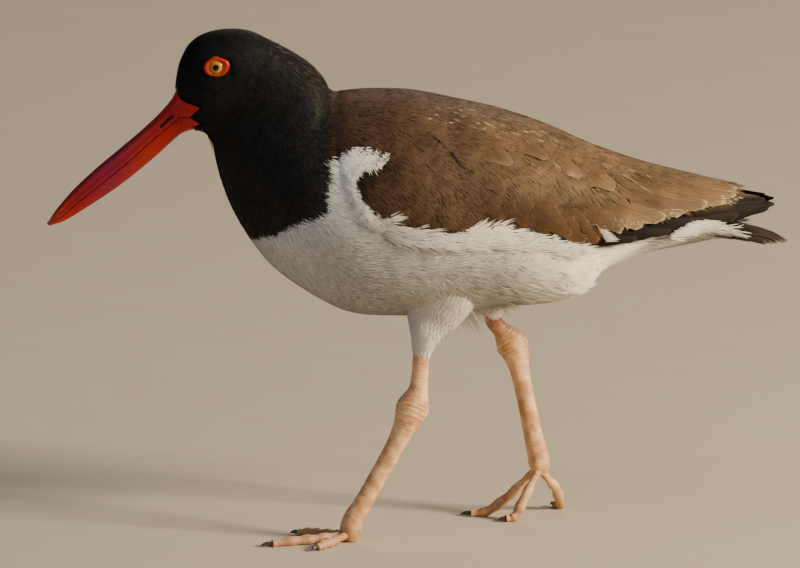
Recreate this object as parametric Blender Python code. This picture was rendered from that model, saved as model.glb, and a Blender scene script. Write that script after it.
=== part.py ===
"""A walking American oystercatcher, life size, as a still museum model.

The bird faces -X and its left side faces -Y. The floor is z = 0 and the origin is under the
middle of its length. Lengths in the tables are millimetres, and angles are degrees.
"""

import math
import random
from collections import namedtuple

import bmesh
import bpy
from mathutils import Matrix, Vector

MM = 0.001
GAP = 0.3  # between neighbouring pieces
GROWTH = 0.45  # what a cutter stands proud of the piece that it makes room for
SEED = 11

BODY_SIDES = 24
THIGH_SIDES = 14
LIMB_SIDES = 10
TOE_SIDES = 8
CLAW_SIDES = 6
BILL_SIDES = 8
SMOOTH_UNDER = 40  # edges flatter than this are shaded smooth

# Sections of the body from the tail's root to the face, each across the body between its upper
# and its lower line: upper x, upper z, lower x, lower z, half width
BODY = (
    (146, 150.5, 146, 143.5, 9),
    (133, 156.5, 134, 140.5, 13),
    (114, 164.5, 114, 136.5, 17),
    (99, 170.5, 100, 132.5, 21),
    (85.5, 175.5, 88, 127, 26),
    (74.5, 180, 78.5, 116, 31),
    (58.5, 188, 60.5, 111, 37.5),
    (39.5, 196.5, 39.5, 110, 43),
    (18, 203.5, 15.5, 108, 46.5),
    (-3.5, 207.5, -8, 105.5, 47.5),
    (-22.5, 209.5, -32, 107, 46),
    (-34, 210.5, -53, 117.5, 42.5),
    (-41, 212, -68.5, 129, 37.5),
    (-44.5, 218, -79, 142, 32.5),
    (-49, 223.5, -87, 155.5, 27.5),
    (-54.5, 228, -92.5, 169.5, 23),
    (-61, 232, -95.5, 181.5, 20),
    (-69.5, 236.5, -96.5, 189, 18),
    (-79, 241, -99, 191.5, 17.2),
    (-89.5, 242, -100.5, 192.5, 16.6),
    (-100, 240, -102, 193, 15.2),
    (-107.5, 235, -103, 193.2, 13),
    (-112, 226.5, -104.2, 193.3, 10.6),
    (-113.8, 218.5, -105, 193.5, 8.6),
    (-114.5, 211.5, -106, 193.6, 7.4),
)
TAIL_END, TORSO_END, NECK_END, HEAD_END = 2.0, 12.0, 16.6, 24.0  # in steps of BODY
SPLIT = 0.022  # half a parting cut, in steps of BODY
ROOM_FROM, ROOM_TO = 0.4, 15  # the stretch of the body that wings and thighs are cut to fit
RING_STEP = 0.7  # between rings, in steps of BODY
FACE_RING_STEP = 0.62

# The folded wings and back feathers as one smooth envelope, by x: top z, z of the widest place, half width
ENVELOPE = (
    (-39, 213, 165, 42.5),
    (-27, 214, 163, 47.8),
    (-3, 212.5, 161, 50.5),
    (18, 208, 158.5, 49.8),
    (39.5, 203, 156.5, 46.5),
    (60.5, 196, 154, 41),
    (82, 186.5, 150.5, 34),
    (105.5, 178.5, 147.5, 26.5),
    (129.5, 172.5, 150, 19.5),
    (150.5, 167.3, 154.3, 13.5),
    (169, 163.5, 158.3, 8.5),
)

# The wing's firm part, by angle from the back's ridge: where it starts at the front
WING_FRONT = ((14, -38), (48, -38), (56, -28), (63, -14), (70, -22), (78, -26), (86, -23), (93, -12))
WING_REAR = 92
WING_DEPTH_FRONT, WING_DEPTH_REAR = 6, 13
WING_COLUMNS, WING_GRID_ROWS = 9, 7
SHELL_DROP = 1.7  # the firm part's outer face under the envelope

# Half of the mantle's plan, by x: half width
MANTLE_PLAN = ((-38, 17), (-10, 19), (25, 18.5), (50, 16), (78, 11), (102, 5.5))
MANTLE_DEPTH = 20
MANTLE_COLUMNS, MANTLE_GRID_ROWS = 10, 6
MANTLE_ROOM_TOP = 4  # how far the room for the mantle reaches over it

# Rows of feathers on a wing, the long ones first. Root and tip are x and angle on the envelope, for a
# row's first and last feather. Lifts are heights over the envelope, and tilt raises a feather's upper edge.
Row = namedtuple("Row", "name count roots tips width lifts tilt outline")
LONG = ((0, 0.55), (0.3, 0.95), (0.7, 0.97), (0.92, 0.6), (1, 0.14))
BROAD = ((0, 0.6), (0.45, 1), (0.84, 0.84), (1, 0.24))
SHORT = ((0, 0.65), (0.5, 1), (0.84, 0.8), (1, 0.26))
WING_ROWS = (
    Row("primaries", 4, ((60, 84), (58, 70)), ((146, 84), (169, 52)), 10, (-3.4, -1.4), 0.5, LONG),
    Row("secondaries", 3, ((46, 88), (50, 82)), ((86, 91), (103, 88)), 13, (-3.0, -2.2), 0.5, BROAD),
    Row("tertials", 4, ((40, 78), (34, 30)), ((112, 82), (151, 32)), 19, (-2.6, -0.4), 0.9, LONG),
    Row("greater coverts", 5, ((6, 85), (26, 50)), ((58, 90), (96, 62)), 17, (-2.6, 0.1), 0.9, BROAD),
    Row("median coverts", 5, ((-10, 86), (0, 46)), ((30, 91), (54, 50)), 16, (-2.4, 0.3), 0.8, SHORT),
    Row("lesser coverts", 5, ((-17, 85), (-22, 42)), ((8, 91), (16, 44)), 16, (-2.2, 0.3), 0.8, SHORT),
    Row("rear scapulars", 3, ((34, 44), (44, 22)), ((86, 42), (108, 20)), 16, (-2.4, 0.4), 0.8, BROAD),
    Row("scapulars", 2, ((-4, 42), (8, 29)), ((48, 44), (66, 30)), 18, (-2.4, 0.5), 0.8, SHORT),
    Row("front scapulars", 2, ((-30, 40), (-28, 28)), ((12, 42), (26, 30)), 17, (-2.2, 0.5), 0.8, SHORT),
)
# Rows of back feathers: root x, tip x, count, width
MANTLE_ROWS = ((60, 112, 1, 10), (40, 88, 2, 12), (12, 62, 2, 14), (-12, 36, 3, 12.5), (-34, 12, 3, 12.5))
MANTLE_LIFTS = (-2.4, 0.3)

# Tail: x, middle z, half width; and how far its sides hang below its middle
TAIL = (
    (118, 151.5, 10.5),
    (134, 150.5, 14.5),
    (150, 148.5, 18),
    (162, 146, 18.5),
    (170, 143, 18),
    (175.4, 140, 17.5),
)
TAIL_DROP = 3.0
TAIL_PAIRS = 5
TAIL_ROOT, TAIL_TIP = 124, 175
TAIL_STEP = 0.7  # each pair lies lower than the one above it
TAIL_SHORTER = 0.55  # how fast the outer pairs get shorter
TAIL_WIDTH = 9.5
TAIL_ROOT_SPREAD, TAIL_TIP_SPREAD = 0.55, 0.9  # shares of the tail's half width
TAIL_LIFT = 0.8  # rise from root to tip
TAIL_TILT = 0.4

VANE_THICK = 0.6
VANE_TIP_THICK = 0.4
VANE_CAMBER = 0.35
TIP_VARY, ANGLE_VARY, WIDTH_VARY = 1.5, 1, 0.06
LOOK_AHEAD = 0.05  # share of a vane's length over which its direction is read

# Bill, from root to tip: culmen x and z, mouth x and z, lower edge x and z, half width
BILL = (
    (-114.6, 211, -109.3, 200.5, -106.2, 193.8, 6.6),
    (-116.4, 208, -112.3, 198.3, -110.8, 192.2, 6.2),
    (-121.6, 201.8, -117.6, 194.4, -116.2, 187.8, 5.5),
    (-129.7, 194, -126, 187.6, -123.5, 181, 4.7),
    (-140.6, 184.6, -137, 178.7, -133, 172.9, 4.1),
    (-151.5, 175.3, -147.8, 169.6, -143.2, 165, 3.7),
    (-162.4, 165, -159.2, 160.2, -155.3, 156.8, 3.2),
    (-170.6, 155.4, -168.2, 152.2, -166.4, 149.9, 2.4),
    (-174.2, 149.9, -173.2, 149, -172, 147.9, 1.3),
    (-175.4, 148.4, -174.9, 148, -173.6, 147.1, 0.7),
)
BILL_FULLNESS = 0.8  # under 1 rounds the bill's sides out
NOSTRIL_FROM, NOSTRIL_TO = (-121.2, 196), (-115.6, 201.2)
NOSTRIL_TALL, NOSTRIL_DEEP = 1.3, 1.4

EYE_X, EYE_Z, EYE_Y = -94.9, 225.9, 11.0
EYE_RADIUS = 5.6
LID_Y = 15.3
LID_LONG, LID_TALL, LID_THICK = 5.0, 4.2, 1.15  # half length and height of its middle line
LID_POINT = 0.12  # how much longer the ring is behind
LID_STEPS, LID_SIDES = 16, 6

# Legs: x, y, z, half width fore and aft, half width sideways
LEFT_THIGH = (
    (12, -19, 124, 17, 14),
    (7, -21.5, 108, 11.5, 10.5),
    (3.2, -23, 98, 6.8, 6.8),
    (2.0, -23.8, 89, 4.5, 4.5),
)
LEFT_SHANK = (
    (1.9, -23.9, 88.6, 4.0, 3.7),
    (1.4, -24.3, 80.4, 4.0, 3.6),
    (0.6, -24.7, 73.5, 4.6, 4.0),
    (-0.4, -25, 69.5, 6.2, 4.8),
)
LEFT_TARSUS = (
    (-0.7, -25, 69.1, 6.4, 4.9),
    (-2.2, -25.1, 64.3, 7.8, 5.5),
    (-4.6, -25.3, 58, 6.4, 4.9),
    (-7.8, -25.5, 51.5, 4.9, 3.9),
    (-11.5, -25.6, 44, 4.4, 3.4),
    (-19.4, -25.8, 29.6, 4.3, 3.3),
    (-25.5, -26, 18.5, 4.4, 3.6),
    (-29.6, -26, 11.5, 5.0, 4.4),
    (-31.4, -26, 6.2, 5.2, 5.0),
    (-31.8, -26, 0, 3, 3),
)
RIGHT_THIGH = (
    (24, 17, 122, 16, 13),
    (29, 20.5, 108, 11, 10.5),
    (33.4, 23.4, 100, 6.4, 6.4),
    (36.4, 24.6, 95.8, 4.6, 4.6),
)
RIGHT_SHANK = (
    (36.7, 24.7, 95.4, 4.0, 3.7),
    (39.4, 25.1, 92, 4.0, 3.7),
    (41.6, 25.4, 89.4, 5.4, 4.4),
)
RIGHT_TARSUS = (
    (41.9, 25.5, 89.0, 5.6, 4.5),
    (45, 26, 84.5, 7.6, 5.5),
    (47.3, 26, 78.5, 6.2, 4.9),
    (48.8, 26, 71.8, 4.7, 3.9),
    (50.7, 26, 63, 4.3, 3.4),
    (53.2, 26, 51, 4.3, 3.3),
    (55.4, 26, 40, 4.5, 3.5),
    (57.4, 26, 31.5, 5.0, 4.3),
    (58.6, 26, 25, 5.0, 4.8),
    (59.0, 26, 21, 3.0, 3.2),
)
# Toes: centre line from the foot's joint to the claw, then the claw's tip
LEFT_TOES = {
    "inner": (
        ((-38.3, -22.8, 3.0), (-45, -19.6, 2.1), (-51, -16.6, 2.0), (-56, -14.1, 1.4)),
        (-60.2, -12, 0.9),
    ),
    "middle": (
        ((-38.6, -28.3, 3.0), (-48, -31.4, 2.1), (-58, -34.8, 2.0), (-68.5, -38.3, 1.4)),
        (-74.2, -40.2, 0.9),
    ),
    "outer": (
        ((-36.1, -31.8, 3.0), (-40.2, -37, 2.1), (-44, -42, 2.0), (-47.2, -46.2, 1.4)),
        (-50, -49.8, 0.9),
    ),
}
RIGHT_TOES = {
    "inner": (
        ((55.8, 21.4, 19.6), (51, 18.4, 10.6), (46.6, 16.6, 2.4), (42.4, 15.2, 1.4)),
        (38.6, 14, 0.9),
    ),
    "middle": (
        ((53, 26.4, 19.4), (43.5, 27, 9.6), (33.5, 27, 2.4), (25.8, 27, 1.4)),
        (20.6, 27, 0.9),
    ),
    "outer": (
        ((61.8, 30.8, 18.2), (66.4, 36, 11.2), (68.4, 42, 3), (66.2, 46.2, 1.4)),
        (63.6, 49.2, 0.9),
    ),
}
TOE_HALF = (1.8, 2.4, 2.3, 1.7)
TOE_SOCKET = 6  # length of the stub on the foot that each toe meets
TOE_RING_STEP = 0.6
CLAW_HALF = (1.25, 0.9, 0.3)
CLAW_GAP = 0.4

COLOURS = {
    # name: red, green, blue, roughness
    "black_plumage": (0.010, 0.009, 0.008, 0.6),
    "white_plumage": (0.78, 0.75, 0.69, 0.8),
    "brown_plumage": (0.17, 0.095, 0.045, 0.7),
    "bill_horn": (0.62, 0.035, 0.012, 0.3),
    "iris": (0.85, 0.50, 0.04, 0.1),
    "eye_ring": (0.80, 0.055, 0.012, 0.4),
    "leg_scales": (0.68, 0.34, 0.24, 0.5),
    "claw_horn": (0.025, 0.020, 0.018, 0.4),
}


def clear_scene():
    for obj in list(bpy.data.objects):
        bpy.data.objects.remove(obj)


def new_collection(name):
    made = bpy.data.collections.new(name)
    bpy.context.scene.collection.children.link(made)
    return made


def new_material(name):
    red, green, blue, roughness = COLOURS[name]
    made = bpy.data.materials.new(name)
    made.use_nodes = True
    shader = made.node_tree.nodes["Principled BSDF"]
    shader.inputs["Base Color"].default_value = (red, green, blue, 1)
    shader.inputs["Roughness"].default_value = roughness
    return made


def along(rows, t):
    """The row of numbers at t on a smooth curve through rows: t is 0 at the first, 1 at the second."""
    last = len(rows) - 1
    t = min(max(t, 0.0), float(last))
    i = min(int(t), last - 1)
    f = t - i
    around = rows[max(i - 1, 0)], rows[i], rows[i + 1], rows[min(i + 2, last)]
    return [
        0.5 * (2 * q + (r - p) * f + (2 * p - 5 * q + 4 * r - s) * f**2 + (3 * q - p - 3 * r + s) * f**3)
        for p, q, r, s in zip(*around)
    ]


def at_first(rows, value):
    """The smooth row whose first number is about value, for rows in rising order."""
    last = len(rows) - 1
    i = max(0, min(sum(row[0] <= value for row in rows) - 1, last - 1))
    t = i + (value - rows[i][0]) / (rows[i + 1][0] - rows[i][0])
    return along(rows, t)


def mix(a, b, f):
    return tuple(p + (q - p) * f for p, q in zip(a, b))


def object_of(name, mesh, collection, material=None):
    """An object for a bmesh in millimetres, its faces turned outwards."""
    bmesh.ops.recalc_face_normals(mesh, faces=mesh.faces)
    bmesh.ops.scale(mesh, vec=(MM, MM, MM), verts=mesh.verts)
    data = bpy.data.meshes.new(name)
    mesh.to_mesh(data)
    mesh.free()
    made = bpy.data.objects.new(name, data)
    collection.objects.link(made)
    if material:
        data.materials.append(material)
    return made


def loft(rings):
    """A closed bmesh through rings of points, with flat ends, its two sides split as mirror images."""
    mesh = bmesh.new()
    made = [[mesh.verts.new(point) for point in ring] for ring in rings]
    sides = len(made[0])
    for here, there in zip(made, made[1:]):
        for k in range(sides):
            n = (k + 1) % sides
            a, b, c, d = here[k], here[n], there[n], there[k]
            pairs = ((a, b, c), (a, c, d)) if k < sides / 2 else ((a, b, d), (b, c, d))
            for corners in pairs:
                mesh.faces.new(corners)
    mesh.faces.new(made[0])
    mesh.faces.new(made[-1])
    return mesh


def body_ring(t, grown=0.0):
    """Points round the body at t steps of BODY. Its plane holds the upper and the lower line there."""
    top_x, top_z, low_x, low_z, half = along(BODY, t)
    top, low = Vector((top_x, 0, top_z)), Vector((low_x, 0, low_z))
    middle, upward = (top + low) / 2, (top - low) / 2
    upward += upward.normalized() * grown
    ring = []
    for k in range(BODY_SIDES):
        turn = 2 * math.pi * k / BODY_SIDES
        ring.append(middle + upward * math.cos(turn) + Vector((0, (half + grown) * math.sin(turn), 0)))
    return ring


def body_stretch(start, end, step, grown=0.0):
    count = max(1, round((end - start) / step))
    return loft([body_ring(start + (end - start) * i / count, grown) for i in range(count + 1)])


def envelope(x, angle, lift, side):
    """A point on the feather envelope, lift outside it. Side is -1 for the left and 1 for the right."""

    def on(x, angle):
        _, top, wide, half = at_first(ENVELOPE, x)
        turn = math.radians(angle)
        return Vector((x, side * half * math.sin(turn), wide + (top - wide) * math.cos(turn)))

    back = on(x + 1, angle) - on(x - 1, angle)
    down = on(x, angle + 1) - on(x, angle - 1)
    outward = back.cross(down).normalized() * side
    return on(x, angle) + outward * lift


def tail_surface(x, across, lift, side):
    """A point on the tail's upper face. Across runs from 0 at the middle to 1 at the side."""
    _, middle, half = at_first(TAIL, x)
    return Vector((x, side * across * half, middle - TAIL_DROP * across**2 + lift))


def vane(surface, side, root, tip, width, lifts, tilt, outline):
    """A thin closed vane on a surface from root to tip, cambered, and tilted across like a shingle."""
    rings = []
    for share, breadth in outline:
        place = mix(root, tip, share)
        ahead = surface(*mix(root, tip, share + LOOK_AHEAD), 0, side) - surface(*place, 0, side)
        above, below = surface(place[0], place[1] - 0.5, 0, side), surface(place[0], place[1] + 0.5, 0, side)
        per_unit = (above - below).length
        slope = (tip[1] - root[1]) * per_unit * LOOK_AHEAD / ahead.length
        half = width / 2 * breadth
        thick = VANE_THICK if share < 1 else VANE_TIP_THICK
        upper, lower = [], []
        for edge in (-1, 0, 1):
            x = place[0] - slope * half * edge
            across = place[1] + half * edge / per_unit
            lift = lifts[0] + (lifts[1] - lifts[0]) * share + VANE_CAMBER * (1 - abs(edge)) - tilt / 2 * edge
            upper.append(surface(x, across, lift, side))
            lower.append(surface(x, across, lift - thick, side))
        rings.append(upper + lower[::-1])
    return loft(rings)


def row_vanes(row, surface, side, draw):
    """The vanes of one row, each a little unlike the next."""
    made = []
    for i in range(row.count):
        f = i / max(row.count - 1, 1)
        root, tip = mix(*row.roots, f), mix(*row.tips, f)
        tip = tip[0] + draw.uniform(-TIP_VARY, TIP_VARY), tip[1] + draw.uniform(-ANGLE_VARY, ANGLE_VARY)
        width = row.width * draw.uniform(1 - WIDTH_VARY, 1 + WIDTH_VARY)
        made.append(vane(surface, side, root, tip, width, row.lifts, row.tilt, row.outline))
    return made


def apply_boolean(obj, operation, target, solver):
    """Applies one Boolean to obj, with an object or a collection."""
    boolean = obj.modifiers.new(operation.lower(), "BOOLEAN")
    boolean.operation = operation
    boolean.solver = solver
    if isinstance(target, bpy.types.Collection):
        boolean.operand_type = "COLLECTION"
        boolean.collection = target
    else:
        boolean.object = target
    bpy.context.view_layer.update()
    data = bpy.data.meshes.new_from_object(obj.evaluated_get(bpy.context.evaluated_depsgraph_get()))
    obj.modifiers.clear()
    old, obj.data = obj.data, data
    bpy.data.meshes.remove(old)


def fuse(obj, meshes, solver="EXACT"):
    """Joins closed meshes to obj by one union. MANIFOLD is quick where there are many."""
    pieces = new_collection("joined")
    for mesh in meshes:
        object_of("piece", mesh, pieces)
    apply_boolean(obj, "UNION", pieces, solver)
    for piece in list(pieces.objects):
        bpy.data.objects.remove(piece)
    bpy.data.collections.remove(pieces)
    keep_largest(obj)


def cut(obj, cutters, solver="EXACT"):
    for cutter in cutters:
        apply_boolean(obj, "DIFFERENCE", cutter, solver)
    keep_largest(obj)


def keep_largest(obj):
    """Keeps obj's largest closed surface and drops any loose scrap or sealed hollow."""
    mesh = bmesh.new()
    mesh.from_mesh(obj.data)
    left, islands = set(mesh.verts), []
    while left:
        island, edge = set(), [left.pop()]
        while edge:
            vert = edge.pop()
            island.add(vert)
            for link in vert.link_edges:
                other = link.other_vert(vert)
                if other in left:
                    left.remove(other)
                    edge.append(other)
        islands.append(island)
    largest = max(islands, key=len)
    loose = [vert for island in islands if island is not largest for vert in island]
    bmesh.ops.delete(mesh, geom=loose, context="VERTS")
    mesh.to_mesh(obj.data)
    mesh.free()


def helper(name, mesh, collection):
    made = object_of(name, mesh, collection)
    made.hide_render = True
    made.display_type = "WIRE"
    return made


def shade(obj):
    obj.data.shade_smooth()
    obj.data.set_sharp_from_angle(angle=math.radians(SMOOTH_UNDER))


def wing_shell(side):
    """The firm part of a folded wing, from its bend to the rump, down into the body."""
    first, last = WING_FRONT[0][0], WING_FRONT[-1][0]
    outer, inner = [], []
    for j in range(WING_GRID_ROWS + 1):
        angle = first + (last - first) * j / WING_GRID_ROWS
        front = at_first(WING_FRONT, angle)[1]
        outer.append([])
        inner.append([])
        for i in range(WING_COLUMNS + 1):
            f = i / WING_COLUMNS
            x = front + (WING_REAR - front) * f
            depth = WING_DEPTH_FRONT + (WING_DEPTH_REAR - WING_DEPTH_FRONT) * f
            outer[-1].append(envelope(x, angle, -SHELL_DROP, side))
            inner[-1].append(envelope(x, angle, -depth, side))
    return slab(outer, inner)


def mantle_surface(x, across, lift, side):
    """A point on the back's upper face. Across is in millimetres from the middle."""
    _, top, wide, half = at_first(ENVELOPE, x)
    return Vector((x, side * across, wide + (top - wide) * math.sqrt(1 - (across / half) ** 2) + lift))


def mantle_shell(grown=0.0, top=-SHELL_DROP):
    """The back's firm part between the wings, with upright sides."""
    first, last = MANTLE_PLAN[0][0] - grown, MANTLE_PLAN[-1][0] + grown
    outer, inner = [], []
    for j in range(MANTLE_GRID_ROWS + 1):
        outer.append([])
        inner.append([])
        for i in range(MANTLE_COLUMNS + 1):
            x = first + (last - first) * i / MANTLE_COLUMNS
            across = (2 * j / MANTLE_GRID_ROWS - 1) * (at_first(MANTLE_PLAN, x)[1] + grown)
            outer[-1].append(mantle_surface(x, across, top, 1))
            inner[-1].append(mantle_surface(x, across, -MANTLE_DEPTH - grown, 1))
    return slab(outer, inner)


def slab(outer, inner):
    """A closed bmesh between two grids of points."""
    mesh = bmesh.new()
    above = [[mesh.verts.new(p) for p in row] for row in outer]
    below = [[mesh.verts.new(p) for p in row] for row in inner]
    rows, columns = len(above) - 1, len(above[0]) - 1
    for j in range(rows):
        for i in range(columns):
            for grid in (above, below):
                mesh.faces.new((grid[j][i], grid[j][i + 1], grid[j + 1][i + 1]))
                mesh.faces.new((grid[j][i], grid[j + 1][i + 1], grid[j + 1][i]))
    rim = [(0, i) for i in range(columns)]
    rim += [(j, columns) for j in range(rows)]
    rim += [(rows, i) for i in range(columns, 0, -1)]
    rim += [(j, 0) for j in range(rows, 0, -1)]
    for (j, i), (l, k) in zip(rim, rim[1:] + rim[:1]):
        mesh.faces.new((above[j][i], above[l][k], below[l][k], below[j][i]))
    return mesh


def block(low, high):
    mesh = bmesh.new()
    bmesh.ops.create_cube(mesh, size=1)
    for vert in mesh.verts:
        vert.co = Vector(h if c > 0 else l for c, l, h in zip(vert.co, low, high))
    return mesh


def limb(rows, sides, step=1):
    """A tapering limb through rows of centre and half widths. What would go below the floor is flat on it."""
    rings = []
    count = round((len(rows) - 1) / step)
    for i in range(count + 1):
        t = (len(rows) - 1) * i / count
        row = along(rows, t)
        centre, fore, wide = Vector(row[:3]), row[3], row[4]
        ahead = (Vector(along(rows, t + 0.1)[:3]) - Vector(along(rows, t - 0.1)[:3])).normalized()
        across = Vector((0, 1, 0)) if abs(ahead.y) < 0.5 else ahead.cross(Vector((0, 0, 1))).normalized()
        forward = across.cross(ahead).normalized()
        across = ahead.cross(forward)
        ring = []
        for k in range(sides):
            turn = 2 * math.pi * (k + 0.5) / sides
            point = centre + forward * fore * math.cos(turn) + across * wide * math.sin(turn)
            point.z = max(point.z, 0) if centre.z > 0 else 0
            ring.append(point)
        rings.append(ring)
    return loft(rings)


def half_ring(peak, edge, half):
    """Points of one half of the bill's section: a flat side through edge, and an arch up to peak."""
    points = []
    for k in range(BILL_SIDES + 1):
        turn = math.pi * k / BILL_SIDES
        across = half * math.cos(turn)
        points.append(edge + (peak - edge) * math.sin(turn) ** BILL_FULLNESS + Vector((0, across, 0)))
    return points


def bill_half(upper):
    rings = []
    for culmen_x, culmen_z, mouth_x, mouth_z, lower_x, lower_z, half in BILL:
        mouth = Vector((mouth_x, 0, mouth_z))
        peak = Vector((culmen_x, 0, culmen_z)) if upper else Vector((lower_x, 0, lower_z))
        away = (peak - mouth).normalized()
        rings.append(half_ring(peak, mouth + away * GAP / 2, half))
    return loft(rings)


def nostril(side):
    """A blind slit in the side of the upper bill."""
    start, end = Vector((NOSTRIL_FROM[0], 0, NOSTRIL_FROM[1])), Vector((NOSTRIL_TO[0], 0, NOSTRIL_TO[1]))
    lengthways = end - start
    mesh = bmesh.new()
    bmesh.ops.create_uvsphere(mesh, u_segments=8, v_segments=6, radius=0.5)
    bmesh.ops.scale(mesh, vec=(lengthways.length, NOSTRIL_DEEP * 2, NOSTRIL_TALL), verts=mesh.verts)
    slope = math.atan2(lengthways.z, lengthways.x)
    bmesh.ops.rotate(mesh, cent=(0, 0, 0), matrix=Matrix.Rotation(-slope, 3, "Y"), verts=mesh.verts)
    half = at_first([(-row[0], row[6]) for row in BILL], -(start.x + end.x) / 2)[1]
    bmesh.ops.translate(mesh, vec=(start + end) / 2 + Vector((0, side * half, 0)), verts=mesh.verts)
    return mesh


def eyeball(side, grown=0.0):
    mesh = bmesh.new()
    bmesh.ops.create_uvsphere(mesh, u_segments=14, v_segments=9, radius=EYE_RADIUS + grown)
    bmesh.ops.rotate(mesh, cent=(0, 0, 0), matrix=Matrix.Rotation(math.pi / 2, 3, "X"), verts=mesh.verts)
    bmesh.ops.translate(mesh, vec=(EYE_X, side * EYE_Y, EYE_Z), verts=mesh.verts)
    return mesh


def lid(side, grown=0.0):
    """The fleshy ring round an eye, drawn out to a point behind."""
    thick = LID_THICK + grown
    mesh = bmesh.new()
    rings = []
    for i in range(LID_STEPS):
        turn = 2 * math.pi * i / LID_STEPS
        stretch = 1 + LID_POINT * max(0, math.cos(turn)) ** 4
        outward = Vector((math.cos(turn), 0, math.sin(turn)))
        centre = Vector((EYE_X + LID_LONG * stretch * outward.x, side * LID_Y, EYE_Z + LID_TALL * outward.z))
        ring = []
        for k in range(LID_SIDES):
            roll = 2 * math.pi * k / LID_SIDES
            point = centre + outward * thick * math.cos(roll) + Vector((0, thick * math.sin(roll), 0))
            ring.append(mesh.verts.new(point))
        rings.append(ring)
    for here, there in zip(rings, rings[1:] + rings[:1]):
        for k in range(LID_SIDES):
            n = (k + 1) % LID_SIDES
            mesh.faces.new((here[k], here[n], there[n], there[k]))
    return mesh


def make_body(parts, tools, paint):
    """The flesh of the body in three pieces. Returns the room that it takes."""
    stretches = (
        ("torso", TAIL_END + SPLIT, TORSO_END - SPLIT, RING_STEP, "white_plumage"),
        ("neck", TORSO_END + SPLIT, NECK_END - SPLIT, RING_STEP, "black_plumage"),
        ("head", NECK_END + SPLIT, HEAD_END, FACE_RING_STEP, "black_plumage"),
    )
    for name, start, end, step, colour in stretches:
        object_of(name, body_stretch(start, end, step), parts, paint[colour])
    return helper("body_room", body_stretch(ROOM_FROM, ROOM_TO, RING_STEP, GROWTH), tools)


def make_eyes(parts, tools, paint):
    for side, word in ((-1, "left"), (1, "right")):
        object_of(f"eye_{word}", eyeball(side), parts, paint["iris"])
        ring = object_of(f"eyelid_{word}", lid(side), parts, paint["eye_ring"])
        eye_room = helper(f"eye_room_{word}", eyeball(side, GAP), tools)
        lid_room = helper(f"lid_room_{word}", lid(side, GAP), tools)
        cut(ring, [eye_room])
        cut(parts.objects["head"], [eye_room, lid_room])


def make_bill(parts, tools, paint):
    upper = object_of("bill_upper", bill_half(True), parts, paint["bill_horn"])
    object_of("bill_lower", bill_half(False), parts, paint["bill_horn"])
    sides = (-1, "left"), (1, "right")
    cut(upper, [helper(f"nostril_{word}", nostril(side), tools) for side, word in sides])


def make_wings(parts, tools, paint, body_room):
    past_tail, over_back = TAIL[-1][0] + 1, BODY[0][1] * 2
    midline = block((WING_REAR, -GAP / 2, 0), (past_tail, GAP / 2, over_back))
    middle = helper("midline_room", midline, tools)
    mantle_room = helper("mantle_room", mantle_shell(GAP, MANTLE_ROOM_TOP), tools)
    for side, word in ((-1, "left"), (1, "right")):
        draw = random.Random(SEED)
        wing = object_of(f"wing_{word}", wing_shell(side), parts, paint["brown_plumage"])
        fuse(wing, [piece for row in WING_ROWS for piece in row_vanes(row, envelope, side, draw)], "MANIFOLD")
        cut(wing, [body_room, mantle_room, middle], "MANIFOLD")


def make_mantle(parts, paint, body_room):
    mantle = object_of("mantle", mantle_shell(), parts, paint["brown_plumage"])
    vanes = []
    for root, tip, count, width in MANTLE_ROWS:
        reach = at_first(MANTLE_PLAN, min(tip, MANTLE_PLAN[-1][0]))[1] - width / 2
        for i in range(count):
            across = reach * (2 * i / (count - 1) - 1) if count > 1 else 0
            ends = (root, across), (tip, across)
            vanes.append(vane(mantle_surface, 1, *ends, width, MANTLE_LIFTS, 0, SHORT))
    fuse(mantle, vanes, "MANIFOLD")
    cut(mantle, [body_room], "MANIFOLD")


def make_tail(parts, paint):
    """The coverts as a smooth core, and the long feathers as a roof with the middle pair on top."""
    tail = object_of("tail", body_stretch(0, TAIL_END - SPLIT, 0.5), parts, paint["brown_plumage"])
    vanes = []
    for i in range(TAIL_PAIRS):
        share = (i + 0.35) / TAIL_PAIRS
        tip = TAIL_TIP - TAIL_SHORTER * i**1.6
        lifts = -TAIL_STEP * i - TAIL_LIFT, -TAIL_STEP * i
        for side in (-1, 1):
            ends = (TAIL_ROOT, share * TAIL_ROOT_SPREAD), (tip, share * TAIL_TIP_SPREAD)
            vanes.append(vane(tail_surface, side, *ends, TAIL_WIDTH, lifts, TAIL_TILT, LONG))
    fuse(tail, vanes, "MANIFOLD")


def make_claw(line, tip):
    """A cone that goes on from its toe and bends to its tip."""
    end, before = Vector(line[-1]), Vector(line[-2])
    start = end + (end - before).normalized() * CLAW_GAP
    points = start, mix(start, tip, 0.6), tip
    return limb([(*point, half, half) for point, half in zip(points, CLAW_HALF)], CLAW_SIDES)


def make_leg(parts, paint, word, thigh, shank, tarsus, toes, body_room):
    upper = object_of(f"thigh_{word}", limb(thigh, THIGH_SIDES, 0.5), parts, paint["white_plumage"])
    cut(upper, [body_room])
    object_of(f"shank_{word}", limb(shank, LIMB_SIDES), parts, paint["leg_scales"])
    foot = object_of(f"tarsus_{word}", limb(tarsus, LIMB_SIDES), parts, paint["leg_scales"])
    stubs = []
    for name, (line, claw_tip) in toes.items():
        rows = [(*point, half, half) for point, half in zip(line, TOE_HALF)]
        root = Vector(line[0])
        ahead = (Vector(along(rows, LOOK_AHEAD)[:3]) - root).normalized()
        reach = [(*(root - ahead * length), TOE_HALF[0], TOE_HALF[0]) for length in (TOE_SOCKET, GAP)]
        stubs.append(limb(reach, TOE_SIDES))
        object_of(f"toe_{word}_{name}", limb(rows, TOE_SIDES, TOE_RING_STEP), parts, paint["leg_scales"])
        object_of(f"claw_{word}_{name}", make_claw(line, claw_tip), parts, paint["claw_horn"])
    fuse(foot, stubs)


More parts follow.
